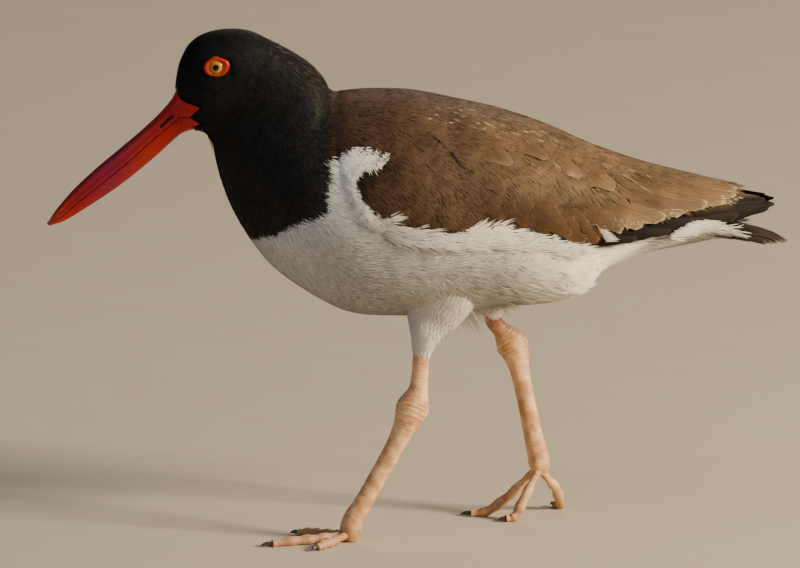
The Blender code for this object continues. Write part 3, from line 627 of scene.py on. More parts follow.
def around_eye(tree):
    """How far a place is from the eye's centre, seen from the side."""
    where = add(tree, "ShaderNodeTexCoord", out=3)
    flat = add(tree, "ShaderNodeVectorMath", {0: where, 1: (1, 0, 1)}, operation="MULTIPLY")
    centre = (EYE[0] * MM, 0, EYE[2] * MM)
    radius = add(tree, "ShaderNodeVectorMath", {0: flat, 1: centre}, out=1, operation="DISTANCE")
    spokes = add(tree, "ShaderNodeTexNoise", {"Vector": where, "Scale": 1 / (0.6 * MM), "Detail": 3})
    ragged = add(tree, "ShaderNodeMath", {0: spokes, 1: 0.4 * MM, 2: radius}, operation="MULTIPLY_ADD")
    return add(tree, "ShaderNodeMapRange", {0: ragged, 1: 0.2 * MM, 2: 8.2 * MM})


def eye_glaze(name):
    """A wet eyeball: golden iris with an orange outer zone, a black pupil and a clear glossy coat."""
    made, tree, shader = surface_of(name, 0.2, Specular_IOR_Level=0.2, Coat_Weight=0.35, Coat_Roughness=0.03)
    stops = ((0.0, "040303"), (0.17, "060403"), (0.2, "a8781a"), (0.3, "b4761a"), (0.37, "b05c14"), (0.43, "a84c12"))
    ramp = coloured(add(tree, "ShaderNodeValToRGB", {0: around_eye(tree)}), stops)
    tree.links.new(ramp, shader.inputs["Base Color"])
    return made


def lid_skin(name):
    """Fleshy eyelid skin, moist and finely wrinkled: orange round the eye and bright red at its outer edge."""
    made, tree, shader = surface_of(name, 0.45, Specular_IOR_Level=0.3, Subsurface_Weight=0.1, Subsurface_Scale=0.001)
    stops = ((0.0, "3a0c02"), (0.38, "7a2a06"), (0.44, "a8400a"), (0.52, "a03008"), (0.6, "b01c07"), (0.75, "9c1205"))
    ramp = coloured(add(tree, "ShaderNodeValToRGB", {0: around_eye(tree)}), stops)
    tree.links.new(ramp, shader.inputs["Base Color"])
    where = add(tree, "ShaderNodeTexCoord", out=3)
    wrinkles = add(tree, "ShaderNodeTexNoise", {"Vector": where, "Scale": 1 / (0.7 * MM), "Detail": 3})
    bump = add(tree, "ShaderNodeBump", {"Height": wrinkles, "Distance": 0.12 * MM, "Strength": 0.4})
    tree.links.new(bump, shader.inputs["Normal"])
    return made


def scaly_skin(name):
    """Bare leg skin: flesh and orange tan, with fine scales across it, redder in the folds, slightly see-through."""
    made, tree, shader = surface_of(name, 0.48, Subsurface_Weight=0.08, Subsurface_Scale=0.002)
    where = add(tree, "ShaderNodeTexCoord", out=3)
    run = add(tree, "ShaderNodeAttribute", out=2, attribute_name="run")
    patchy = add(tree, "ShaderNodeTexNoise", {"Vector": where, "Scale": 1 / (5 * MM), "Detail": 3})
    fine = add(tree, "ShaderNodeTexNoise", {"Vector": where, "Scale": 1 / (1.3 * MM), "Detail": 2})
    # The scales stand 1.7 mm apart along the leg
    steps = add(tree, "ShaderNodeMath", {0: fine, 1: 1.6, 2: run}, operation="MULTIPLY_ADD")
    turns = add(tree, "ShaderNodeMath", {0: steps, 1: math.pi / 1.7}, operation="MULTIPLY")
    wave = add(tree, "ShaderNodeMath", {0: turns}, operation="SINE")
    ridge = add(tree, "ShaderNodeMath", {0: wave}, operation="ABSOLUTE")
    scale = add(tree, "ShaderNodeMapRange", {0: ridge, 1: 0.0, 2: 0.45})
    level = add(tree, "ShaderNodeMapRange", {0: patchy, 1: 0.38, 2: 0.62})
    colour = add(tree, "ShaderNodeMix", {0: level, 6: paint("ca915f"), 7: paint("f0c08a")}, out=2, data_type="RGBA")
    creased = add(tree, "ShaderNodeMapRange", {0: scale, 1: 0.0, 2: 1.0, 3: 0.82, 4: 1.0})
    lined = add(tree, "ShaderNodeVectorMath", {0: colour, "Scale": creased}, operation="SCALE")
    # Redder close under the feathers and darker there as painted shade under the body, and dusty on the feet
    height = add(tree, "ShaderNodeSeparateXYZ", {0: where}, out=2)
    high = add(tree, "ShaderNodeMapRange", {0: height, 1: 84 * MM, 2: 96 * MM})
    low = add(tree, "ShaderNodeMapRange", {0: height, 1: 14 * MM, 2: 4 * MM, 3: 0.0, 4: 0.55})
    flushed_and_shaded = add(tree, "ShaderNodeMix", {0: high, 6: lined, 7: paint("935339")}, out=2, data_type="RGBA")
    dusty = add(tree, "ShaderNodeMix", {0: low, 6: flushed_and_shaded, 7: paint("96684c")}, out=2, data_type="RGBA")
    tree.links.new(dusty, shader.inputs["Base Color"])
    bump = add(tree, "ShaderNodeBump", {"Height": scale, "Distance": 0.2 * MM, "Strength": 0.5})
    folds = add(tree, "ShaderNodeBump", {"Height": patchy, "Distance": 0.8 * MM, "Strength": 0.35, "Normal": bump})
    tree.links.new(folds, shader.inputs["Normal"])
    return made


def claw_horn(name):
    """Claw horn: nearly black, smooth and a little glossy, with fine streaks along it."""
    made, tree, shader = surface_of(name, 0.35, Coat_Weight=0.2)
    where = add(tree, "ShaderNodeTexCoord", out=3)
    grain = add(tree, "ShaderNodeTexNoise", {"Vector": where, "Scale": 1 / (0.8 * MM), "Detail": 3})
    colour = add(tree, "ShaderNodeMix", {0: grain, 6: paint("17120f"), 7: paint("4a3a30")}, out=2, data_type="RGBA")
    tree.links.new(colour, shader.inputs["Base Color"])
    bump = add(tree, "ShaderNodeBump", {"Height": grain, "Distance": 0.1 * MM, "Strength": 0.4})
    tree.links.new(bump, shader.inputs["Normal"])
    return made


def studio_paper(name):
    """Matt pale backdrop paper."""
    made, tree, shader = surface_of(name, 0.9)
    where = add(tree, "ShaderNodeTexCoord", out=3)
    fibre = add(tree, "ShaderNodeTexNoise", {"Vector": where, "Scale": 1 / (30 * MM), "Detail": 4})
    colour = add(tree, "ShaderNodeMix", {0: fibre, 6: paint("bcae95"), 7: paint("c2b59d")}, out=2, data_type="RGBA")
    tree.links.new(colour, shader.inputs["Base Color"])
    return made


BLACK = contour_plumage("black contour feathers", 0.6, 0.4, 0.3, 0.18)
WHITE = contour_plumage("white contour feathers", 0.8, 0.15, 0.05, 0.2)
COVERTS = contour_plumage("brown covert feathers", 0.6, 0.35, 0.2, 0.18)
VANES = vane_plumage("brown feather vanes", 0.5, 0.13, 24, 0.12)
TERTIAL = vane_plumage("brown tertial feather vanes", 0.6, 0.07, 64, 0.16, 0.14)
FLIGHT = vane_plumage("dark flight feather vanes", 0.6, 0.08, 55, 0.12, 0.12)
HORN = horn("polished bill keratin")
GLAZE = eye_glaze("wet eye")
LID_SKIN = lid_skin("red eyelid skin")
LEG_SKIN = scaly_skin("scaly leg skin")
CLAW = claw_horn("dark claw horn")
PAPER = studio_paper("pale backdrop paper")

# Where the black of the head and breast stops on the side of the body, by height: z, x
BIB = (
    (132, -96), (140, -82), (142, -79.5), (144.6, -75), (149, -66), (156, -57),
    (158, -50), (163, -43), (172, -42.2), (181, -41), (190, -41.5), (230, -41.5),
)
BACK_FROM = 187.5  # the brown back reaches down to this height in front of the wings
# The lower edge of the wing's brown, by way back: x, angle
WING_EDGE = (
    (-24, 88), (-12, 93), (0, 94), (20, 93.5), (40, 92.5), (54, 93), (72, 97), (84, 100),
    (86, 92), (88, 84), (92, 83), (98, 84), (106, 80), (115, 76), (128, 69), (147, 62), (154, 50),
)


def over_rows(rows, value):
    """Straight steps between the pairs of a table."""
    rows = np.array(rows, float)
    return np.interp(value, rows[:, 0], rows[:, 1])


def marking(at, seed=3):
    """The plumage's colour at places on the body: black in front, brown on the back and white below."""
    draw = np.random.default_rng(seed)
    x, z = at[..., 0], at[..., 2]
    ragged = draw.normal(0, 0.5, x.shape)
    edge = over_rows(BIB, z)
    black = (x + ragged < edge) & (z > 132)
    brown = (x + ragged >= edge) & (z + ragged > BACK_FROM)
    found = np.broadcast_to(linear(CHALK) * 0.86, at.shape).copy()
    found[brown] = linear(UMBER) * 0.6
    found[black] = dark_plumage(at)[black]
    return found, black, brown


def dark_plumage(at):
    """The black of the head, a little browner on the nape, and painted lighter low on the breast as light and darker
    on the crown as shade.
    """
    x, z = at[..., 0], at[..., 2]
    nape = (smooth(x + 3 * cloud(at, 12, 5), -88, -48) * smooth(z + 0.35 * (x + 60), 196, 232))[..., None]
    # Painted light and shade: the black is lighter low down on the breast and darker up on the crown
    level = (2.9 - 2.25 * smooth(z, 150, 232))[..., None]
    return (linear(INK) * (1 - nape) + linear(SOOT) * nape * 0.78) * level


def white_plumage(at):
    """The white of breast, belly and vent, with painted light and shade: cool as painted sky light in front, darker
    as painted shade along the belly and under the tail, and cream as painted warm light on the flank and vent behind.
    """
    x, z = at[..., 0], at[..., 2]
    # Painted light and shade: a bluish tint in front as sky light, the belly darker as shade, the flank and vent
    # brighter and creamier as warm light, and the undertail darker as shade
    cool = 1 - smooth(x, -60, 20)
    belly_shade = smooth(x, -72, -35) * (1 - smooth(x, 28, 58)) * (1 - smooth(z, 140, 170))
    vent = smooth(x, 25, 62) * (1 - smooth(x, 90, 106))
    under = smooth(x, 90, 106)
    level = 0.86 * (1 - 0.25 * belly_shade + 0.24 * vent - 0.14 * under)
    tone = 1 + cool[..., None] * np.array([-0.02, 0.03, 0.12]) - vent[..., None] * np.array([0, 0.03, 0.1])
    return linear(CHALK) * level[..., None] * tone


def wing_brown(at, angle):
    """The brown of back and wings: reddish dark in front, golden behind, duller along the ridge, and painted darker
    as shade where the wing's feathers start.
    """
    x = at[..., 0]
    rear = smooth(x + 6 * cloud(at, 30, 8), -38, 95)[..., None]
    colour = linear(UMBER) * (1 - rear) + linear(TAWNY) * rear
    ridge = (1 - smooth(angle, 8, 30)) * (1 - smooth(x, 25, 80))
    broad = 0.14 * cloud(at, 26, 12) + 0.15 * cloud(at, 11, 9) + 0.06 * cloud(at, 4.5, 10)
    # Painted shade: darker just behind where the wing's feathers start
    front = (1 - smooth(x - over_rows(WING_FRONT, angle), 0, 9)) * (0.3 + 0.7 * smooth(angle, 44, 56))
    low = smooth(angle, 48, 72) * (1 - smooth(x, 84, 104)) * smooth(x, 10, 40)
    level = 0.86 * (1 - 0.08 * ridge) * (1 - 0.5 * front) * (1 + broad)
    return colour * level[..., None] * (1 - low[..., None] * np.array([0.5, 0.58, 0.66]))


def make_skin():
    """One skin under the feathers: body, thighs and the firm part of the folded wings, with no seam."""
    mesh = bmesh.new()

    def add_tube(point, columns, rows):
        piece = sheet(point, columns, rows)
        data = bpy.data.meshes.new("tube")
        piece.to_mesh(data)
        piece.free()
        mesh.from_mesh(data)
        bpy.data.meshes.remove(data)

    def under_body(u, v):
        t, turn = u * FACE, v * 2 * math.pi
        at, _, _, out = bearings(body, t, turn, -1)
        return at - out * coat_depth(t)[:, None]

    add_tube(under_body, 150, 80)
    for rows in THIGHS.values():
        leg = limb(rows)
        add_tube(lambda u, v: leg(u * 3, v * 2 * math.pi), 24, 28)
    for side, _ in SIDES:
        envelope = wing(side)

        def slab(u, v):
            outer = v < 0.5
            angle = np.where(outer, 8 + 83 * v * 2, 8 + 83 * (1 - v) * 2)
            front = over_rows(WING_FRONT, angle) + 12
            x = front + (92 - front) * u
            at, _, _, out = bearings(envelope, x, angle, side)
            return at - out * np.where(outer, 2.8, 9.0)[:, None]

        add_tube(slab, 60, 60)
    data = bpy.data.meshes.new("skin")
    mesh.to_mesh(data)
    mesh.free()
    raw = bpy.data.objects.new("raw_skin", data)
    bpy.context.scene.collection.objects.link(raw)
    remesh = raw.modifiers.new("one skin", "REMESH")
    remesh.mode = "VOXEL"
    remesh.voxel_size = 1.3
    even = raw.modifiers.new("even", "SMOOTH")
    even.factor = 0.5
    even.iterations = 4
    graph = bpy.context.evaluated_depsgraph_get()
    found = bpy.data.meshes.new_from_object(raw.evaluated_get(graph))
    bpy.data.objects.remove(raw)
    at = np.empty(len(found.vertices) * 3, np.float32)
    found.vertices.foreach_get("co", at)
    at = at.reshape(-1, 3).astype(float)
    found.vertices.foreach_set("co", (at * MM).astype(np.float32).ravel())
    found.update()
    colours, _, _ = marking(at)
    angle, level = wing_place(at)
    # Painted shade: the skin under the wing's feathers is dark, as the shade seen in the gaps between them
    winged = (level > 0.9) & (at[:, 0] > over_rows(WING_FRONT, angle) - 1.5) & (angle < over_rows(WING_EDGE, at[:, 0]) - 3)
    colours[winged & (at[:, 0] > -34)] = linear(DUSK)
    tint = found.attributes.new("tint", "FLOAT_COLOR", "POINT")
    shades = np.concatenate([colours, np.ones((len(at), 1))], 1)
    tint.data.foreach_set("color", shades.astype(np.float32).ravel())
    nodes = ["head", "neck", "torso", "thigh_left", "thigh_right"]
    placed("skin", found, WHITE, "white_plumage", *nodes)


def coat_depth(t):
    """How deep the skin lies under the feathers: thin on the head and thicker on the body."""
    return 0.9 + 1.5 * smooth(-t, -17, -12)


def wing_place(at):
    """The angle from the back's ridge and the nearness to the wing envelope, where 1 is on it."""
    _, top, wide, half = np.moveaxis(at_first(ENVELOPE, at[..., 0]), -1, 0)
    side, rise = np.abs(at[..., 1]) / half, (at[..., 2] - wide) / (top - wide)
    return np.degrees(np.arctan2(side, rise)), np.hypot(side, rise)


def under_wing(at):
    """Places on the body that the folded wings hide."""
    angle, _ = wing_place(at)
    front = over_rows(WING_FRONT, np.clip(angle, 0, 93))
    edge = np.where(at[..., 0] > 84, 99, over_rows(WING_EDGE, at[..., 0]))
    lowest = np.minimum(edge - 9, 84 + 7 * smooth(at[..., 0], 56, 68))
    return (at[..., 0] > front + 9) & (at[..., 0] < 118) & (angle < lowest)


def bare(at):
    """Where the face is bare: the eyes with their rings, and the root of the bill with its red corners."""
    x, z = at[..., 0], at[..., 2]
    eye = ((x - EYE[0] - 0.6) / 6.4) ** 2 + ((z - EYE[2] + 0.1) / 5.1) ** 2 < 1
    return eye | ((x < over_rows(FACE_EDGE, z)) & (z > 190) & (z < 217))


def make_coats():
    """The contour feathers of head, neck, breast, belly and vent, which grow longer from face to vent."""
    plans = (
        # name, body steps, tufts per square mm, barbs in a tuft, rings of a barb, looseness
        ("face", (21.2, 24.0), 1.5, 3, 1, 1.0),
        ("crown", (17.4, 21.2), 0.95, 4, 1, 1.0),
        ("neck", (13.6, 17.4), 0.6, 5, 1, 1.0),
        ("breast", (10.4, 13.6), 0.36, 6, 2, 0.45),
        ("belly", (6.0, 10.4), 0.27, 6, 2, 0.75),
        ("vent", (0.4, 6.0), 0.27, 6, 2, 1.0),
    )
    steps = (0, 3, 10, 13.6, 17.4, 21.2, 24)
    for index, (name, ends, per_mm, strands, rings, loose) in enumerate(plans):
        for side, word in SIDES:
            turns = (0, math.pi) if side > 0 else (-math.pi, 0)
            t, turn = sown(body, ends, turns, per_mm, 10 + index,
                           lambda at, t, turn: ~bare(at) & ~under_wing(at))
            at, along_t, _, _ = bearings(body, t, turn, -1)
            length = np.interp(t, steps, (9, 13, 10.5, 8.5, 6, 3.6, 2.0)) * (1 + 0.15 * cloud(at, 6, 21))
            _, black, backed = marking(body(t - 0.7 * length / np.linalg.norm(along_t, axis=-1), turn), 40 + index)
            x, about = at[:, 0], np.abs(turn)
            leg = np.exp(-(((x - (8 if side < 0 else 29)) / 17) ** 2))
            leg = leg * smooth(about, 1.85, 2.3) * (1 - smooth(about, 2.85, 3.05))
            flank = smooth(x, 5, 50) * (1 - smooth(x, 95, 120)) * smooth(about, 1.2, 1.6) * (1 - smooth(about, 1.9, 2.5))
            slant = side * (1.35 * leg - (0.42 + 0.12 * cloud(at, 12, 22)) * flank)
            length = length * (1 + 0.3 * flank + 0.35 * leg)
            rise = np.interp(t, (0, 10, 17, 24), (0.5, 0.3, 0.2, 0.08)) + 2.2 * flank * smooth(x, 30, 60) + 2.4 * leg
            chosen_by = (
                # colour, material, which roots, their colour, shares of it at root and tip (a lower share at the root
                # is painted shade), grain, dome
                ("black", BLACK, black, dark_plumage(at), 0.75, 1.1, 0.12, 0.22),
                ("white", WHITE, ~black & ~backed, white_plumage(at), 0.94, 1.02, 0.03, 0.14),
                ("brown", COVERTS, ~black & backed, linear(UMBER) * 0.4, 0.75, 1.1, 0.1, 0.3),
            )
            for colour, material, chosen, own, low, high, grain, dome in chosen_by:
                if chosen.sum() < 30:
                    continue
                own = np.broadcast_to(own, at.shape)[chosen]
                sizes = [length, length * 0.44, coat_depth(t), rise, 0.3 + 0.026 * length]
                tufts(f"coat_{name}_{colour}_{word}", (body, -1, -1), t[chosen], turn[chosen], slant[chosen],
                      [size[chosen] for size in sizes], (own * low, own * high), strands, material,
                      f"{colour}_plumage", 70 + index, rings=rings, grain=grain, dome=dome, loose=loose, ease=0.3 * (name == "vent"), bake=body_bake)
    nape_wisps()
    loose_tufts("vent_tufts", (4.7, 7.4), (1.75, 2.7), 0.045, (11, 17), 3.4, (1.2, 3.2), 0.2, 7)
    loose_tufts("vent_points", (5.4, 6.1), (1.98, 2.5), 0.05, (15, 18), 11, (2.0, 3.2), 0.38, 14, -0.5, 0.3)
    loose_tufts("belly_fringe", (7.6, 8.4), (2.75, math.pi), 0.08, (8, 12), 1.8, (10, 19), 0.0, 4, 0.3, 0.3)
    loose_tufts("rear_fringe", (6.95, 7.6), (2.75, math.pi), 0.08, (7, 10), 2.0, (3, 8), 0.0, 4, 0.3, 0.3)
    loose_tufts("flank_strands", (5.3, 8.6), (1.55, 2.05), 0.045, (11, 18), 0.8, (0.8, 2.0), -0.42, 2, 1.0, 0.25)
    thigh_coats()
    tail_base_coat()


def nape_wisps():
    """A few frayed barbs that stand off the nape, paler at their tips: partly a brownish tone and partly a painted
    highlight along the nape's outline.
    """
    t, turn = sown(body, (12.8, 17.5), (-0.7, 0.7), 0.08, 51, lambda at, t, turn: at[:, 0] < -44)
    chance = np.random.default_rng(52)
    length = chance.uniform(5, 9, len(t))
    # Partly painted highlight: the tips are paler, as light catching the nape's outline
    colour = linear("4c4235") * chance.uniform(0.3, 1.2, (len(t), 1))
    tufts("coat_nape_wisps", (body, -1, -1), t, turn, chance.normal(0, 0.15, len(t)), (length, 1.6, 0.8, 0.9, 0.3),
          (linear(SOOT), colour), 3, BLACK, "black_plumage", 53, bake=body_bake)


def loose_tufts(name, steps, turns, per_mm, lengths, width, rises, down, strands, fan=1.0, ease=0.0):
    """Looser white tufts that stand off the lower body on both sides, between two turns from the top."""
    for side, word in SIDES:
        ends = sorted(side * turn for turn in turns)
        t, turn = sown(body, steps, ends, per_mm, 54, lambda at, t, turn: t < 99)
        chance = np.random.default_rng(55)
        slant = side * down + chance.normal(0, 0.16, len(t))
        # Painted light: the long fringes are made brighter than the white around them, to read bright in the body's
        # shade
        white = white_plumage(body(t, turn)) * (1.35 if rises[1] > 5 else 1.02)
        sizes = (chance.uniform(*lengths, len(t)), width, 2.0, chance.uniform(*rises, len(t)), 0.5)
        tufts(f"coat_{name}_{word}", (body, -1, -1), t, turn, slant, sizes, (white * 0.92, white * 1.03), strands, WHITE,
              "white_plumage", 56, fan=fan, grain=0.05, dome=0.2, ease=ease, bake=body_bake)


def thigh_coats():
    """Short feathers down the thighs, fuller behind, and painted lighter and warmer behind as lit."""
    for side, word in SIDES:
        leg = limb(THIGHS[word])
        last = 2.6 if side < 0 else 2.45
        t, turn = sown(leg, (0.0, last + 0.15), (-math.pi, math.pi), 0.5, 31,
                       lambda at, t, turn: 1 - 0.9 * smooth(t, last - 0.4, last + 0.15))
        behind = smooth(-np.cos(turn), -0.1, 0.9) * (1 - smooth(t, 1.0, 2.4))
        length = np.interp(t, (0, 1, 2, 3), (10, 8, 6, 4))
        rise = 0.4 + 1.4 * behind
        # Painted light: the rear of each thigh is lighter and warmer, as lit from behind
        base = linear(CHALK) * (0.93 + behind[:, None] * np.array([0.16, 0.13, 0.06]))
        sizes = (length, length * 0.4, np.interp(t, (0, 1.5, 3), (2, 1.3, 0.7)), rise, 0.52)
        tufts(f"coat_thigh_{word}", (leg, -1, 1), t, turn, 0.0, sizes, (base * 0.88, base * 1.04), 4,
              WHITE, "white_plumage", 33, grain=0.04, dome=0.16, bake=limb_bake)


def tail_base_coat():
    """White feathers over and under the root of the tail."""
    cone = limb(((112, 0, 150.5, 15, 17.5), (128, 0, 149.8, 9.5, 15.5), (142, 0, 148.4, 6, 16),
                 (156, 0, 146.4, 3.6, 16.5), (168, 0, 144, 2.5, 16)))
    t, turn = sown(cone, (0.2, 2.5), (-2.0, 2.0), 0.3, 36, lambda at, t, turn: 1 - smooth(np.abs(turn), 1.3, 2.0) * smooth(t, 0.8, 1.6))
    base = linear(CHALK) * 0.84
    length = np.interp(t, (0, 1, 2, 3), (13, 13, 12, 9))
    rise = 0.6 + 1.8 * np.exp(-(((np.abs(turn) - 1.5) / 0.3) ** 2))
    tufts("coat_tail_base", (cone, -1, 1), t, turn, 0.0, (length, 4.5, 1.6, rise, 0.5), (base * 0.85, base * 1.04), 6,
          WHITE, "white_plumage", 37, grain=0.05, dome=0.16, bake=limb_bake)


def wing_slope(x, angle):
    """How steeply the wing's feathers hang, in radians: nearly level along the ridge and steep low down."""
    low = smooth(angle, 22, 62)
    steep = 13 + 41 * low * (0.55 + 0.45 * smooth(x, -34, 6)) + 8 * low * smooth(x, 40, 80)
    return np.radians(steep * (1 - 0.75 * smooth(x, 92, 150)))


# Lines on the wing, as corners of x and angle from the ridge: crease and split lines that are painted shade, and pale
# edges that are partly worn and partly a painted highlight
CREASE_SHADE = (((5, 40), (13, 47), (20, 56)), ((22, 58), (26, 60)))
SPLIT_SHADES = (
    ((99, 57), (102, 64), (103, 69)), ((108, 56), (113, 61)), ((120, 55), (126, 59)), ((112, 72), (117, 74)),
    ((126, 66), (131, 67)), ((92, 60), (96, 66)),
)
PALE_EDGES_AND_HIGHLIGHTS = (
    ((86, 26), (99, 36), (110, 47)), ((139, 34), (146, 32), (151, 33)), ((118, 48), (129, 53)),
    ((58, 40), (66, 44)), ((96, 24), (108, 28)),
)


def drawn_lines(lines, more_x=(), more_angle=()):
    """Places every 0.7 mm along lines of x and angle, and the further places given."""
    found = [np.stack([more_x, more_angle], -1)]
    for line in lines:
        for start, end in zip(line, line[1:]):
            run = np.linspace(0, 1, max(3, int(math.dist(start, end) / 0.7)))[:, None]
            found.append(np.array(start) * (1 - run) + np.array(end) * run)
    x, angle = np.concatenate(found).T
    return x, angle


def wing_tufts(side, word):
    """The soft brown feathers of the back and wing, with their frayed ends."""
    envelope, up = wing(side), -side
    ground = (envelope, side, 1)

    def hang(at, x, angle):
        length = (9.5 + 2.5 * cloud(at, 14, 210) + 4.5 * smooth(x, 80, 98) * (1 - smooth(x, 120, 140))) * (0.72 + 0.28 * smooth(x - over_rows(WING_FRONT, angle), 0, 12))
        slope = wing_slope(x, angle) + 0.12 * cloud(at, 13, 211)
        return length, slope

    def keep(at, x, angle):
        length, slope = hang(at, x, angle)
        sparse = 1 - 0.25 * smooth(x, 84, 100) - 0.65 * smooth(x, 64, 86) * smooth(angle, 26, 44)
        reach = angle + np.degrees(length * 0.9 * np.sin(slope) / at_first(ENVELOPE, x)[..., 3])
        inside = (x > over_rows(WING_FRONT, angle) + 0.3) & (reach < over_rows(WING_EDGE, x) + 1 - 5 * smooth(x, 84, 94))
        return np.where(inside, sparse, 0)

    x, angle = sown(envelope, (-42, 146), (0, 98), 0.12, 200, keep)
    at = envelope(x, angle)
    colour = wing_brown(at, angle)
    length, slope = hang(at, x, angle)
    thick = 0.7 - 0.2 * smooth(x, 50, 90)
    tufts(f"coat_wing_{word}", ground, x, angle, slope, (length * 1.15, 6.4, 1.1, 0.15, thick),
          (colour * 0.9, colour * 1.05), 9, COVERTS, "brown_plumage", 201, grain=0.035, dome=0.12, loose=0.36, bake=wing_bake)

    # Pale worn streaks on the upper back
    x, angle = sown(envelope, (2, 66), (8, 32), 0.034, 220, lambda at, x, angle: 1 - smooth(np.abs(x - 32), 18, 36))
    at = envelope(x, angle)
    chance = np.random.default_rng(221)
    pale = linear(BUFF) * chance.uniform(0.3, 0.95, (len(x), 1))
    tufts(f"coat_streaks_{word}", ground, x, angle, wing_slope(x, angle), (chance.uniform(5, 10, len(x)), 1.6, 0.1, 0.4, 0.3),
          (wing_brown(at, angle), pale), 4, COVERTS, "brown_plumage", 222, bake=wing_bake)

    # Painted shade in dark lines along the crease between the back's feathers and the wing's and along splits between
    # feathers, and the pale edges of long feathers, partly worn and partly a painted highlight
    gaps = sown(envelope, (-20, 60), (40, 88), 0.003, 230, lambda at, x, angle: x < 900)
    for name, (x, angle), colour, width, thick, strands in (
        ("crease", drawn_lines(CREASE_SHADE), linear(DUSK) * 0.8, 1.7, 0.4, 3),
        ("splits", drawn_lines(SPLIT_SHADES, *gaps), linear(DUSK) * 0.9, 0.3, 0.26, 2),
        ("edges", drawn_lines(PALE_EDGES_AND_HIGHLIGHTS), linear(BUFF) * 0.6, 0.0, 0.3, 1),
    ):
        tufts(f"coat_{name}_{word}", ground, x, angle, wing_slope(x, angle) + 0.02, (4, width, -0.3, 0.05, thick),
              (colour * 0.9, colour), strands, COVERTS, "brown_plumage", 231, bake=wing_bake)

    # The white patch on the shoulder, and white feathers that lap over the wing's front edge
    white = linear(CHALK) * 0.86
    x, angle = sown(envelope, (-41, -10), (47, 95), 0.38, 238,
                    lambda at, x, angle: (x < over_rows(WING_FRONT, angle) + 0.4) & (angle > 53 + 6 * smooth(-x, 34, 40)))
    length = np.clip(over_rows(WING_FRONT, angle) - x + 2.0, 3.4, 7)
    own = white_plumage(envelope(x, angle))
    tufts(f"coat_patch_{word}", ground, x, angle, 0.1 + 0.8 * smooth(x, -30, -19), (length, 3.2, 2.4, 0.1, 0.5),
          (own * 0.98, own * 1.04), 6, WHITE, "white_plumage", 239, grain=0.03, dome=0.1, loose=0.6, ease=0.16, bake=wing_bake)
    chance = np.random.default_rng(240)
    angle = np.repeat(np.linspace(56, 92, 36), 2) + chance.normal(0, 0.6, 72)
    x = over_rows(WING_FRONT, angle) - chance.uniform(3.0, 6.0, 72)
    own = white_plumage(envelope(x, angle))
    tufts(f"coat_shoulder_{word}", ground, x, angle, 0.15 + 0.9 * smooth(x, -32, -22), (chance.uniform(5, 8, 72), 1.8, 1.6, 0.8, 0.4),
          (own * 0.9, own * 1.1), 4, WHITE, "white_plumage", 241, dome=0.16, ease=0.16, bake=wing_bake)

    # Brown feathers at the root of the neck, which lap back over the front edge of the mantle
    chance = np.random.default_rng(244)
    angle = chance.uniform(0, 56, 110)
    x = over_rows(WING_FRONT, angle) - chance.uniform(1.5, 5.5, 110)
    own = wing_brown(envelope(x + 7, angle), angle)
    tufts(f"coat_collar_{word}", ground, x, angle, wing_slope(x, angle), (chance.uniform(9, 13, 110), 4.2, 1.5, 0.4, 0.45),
          (own * 0.85, own * 1.05), 8, COVERTS, "brown_plumage", 245, grain=0.035, dome=0.12, loose=0.36, bake=wing_bake)

    # Long white feathers of the flank, which sweep up over the wing's lower edge
    chance = np.random.default_rng(250)
    x = np.concatenate([chance.uniform(-20, 74, 150), chance.uniform(18, 36, 45)])
    wave = np.exp(-(((x - 28) / 9) ** 2))
    angle = np.clip(over_rows(WING_EDGE, x), 90, 100) + chance.uniform(3, 12, len(x)) + 3 * smooth(x, 40, 60)
    length = chance.uniform(8, 14, len(x)) + 4 * wave
    slant = -(0.3 + 0.2 * smooth(x, -10, 30) + 0.25 * wave) + chance.normal(0, 0.12, len(x))
    tufts(f"coat_flank_{word}", ground, x, angle, slant, (length, 3.6, 1.8, 0.9 + 0.5 * wave, 0.5), (white * 0.88, white * 1.05),
          6, WHITE, "white_plumage", 251, curl=side * 0.25, grain=0.06, dome=0.2, bake=wing_bake)

    # White feathers that show at the rear of the wing's lower edge
    x, angle = np.linspace(83.5, 88.5, 9), np.linspace(80.5, 95, 9)
    slant = np.linspace(0.5, -0.2, 9)
    tufts(f"coat_secondary_{word}", ground, x, angle, slant, (7.5, 1.7, -0.3, 0.8, 0.34), (white * 0.8, white * 0.95),
          3, WHITE, "white_plumage", 252, fan=0.4, dome=0.2, loose=0.6, bake=wing_bake)

    # White feathers of the rump, which stand out past the lower edge of the folded wing's tip
    f = chance.uniform(0, 1, 34)
    x, angle = 119 + 17 * f, 93 - 9 * np.minimum(1, 2 * f) + chance.normal(0, 1.2, 34)
    tufts(f"coat_rump_{word}", ground, x, angle, 0.25 + 0.25 * f, (chance.uniform(9, 14, 34), 3.2, -0.5, 1.1, 0.34),
          (white * 0.85, white), 7, WHITE, "white_plumage", 254, fan=1.2, grain=0.06, dome=0.2, loose=0.6, bake=wing_bake)

    # Frayed pale ends along the rear of the lower edge
    x = np.linspace(92, 150, 70) + chance.normal(0, 0.6, 70)
    angle = over_rows(WING_EDGE, x) - chance.uniform(4, 10, 70)
    ends = linear(BUFF) * chance.uniform(0.5, 1.1, (70, 1))
    slope = wing_slope(x, angle) + 0.1
    tufts(f"coat_fringe_{word}", ground, x, angle, slope, (chance.uniform(2.5, 4.5, 70), 1.0, -0.6, 0.9, 0.22),
          (linear(TAWNY) * 0.7, ends), 3, COVERTS, "brown_plumage", 253, bake=wing_bake)


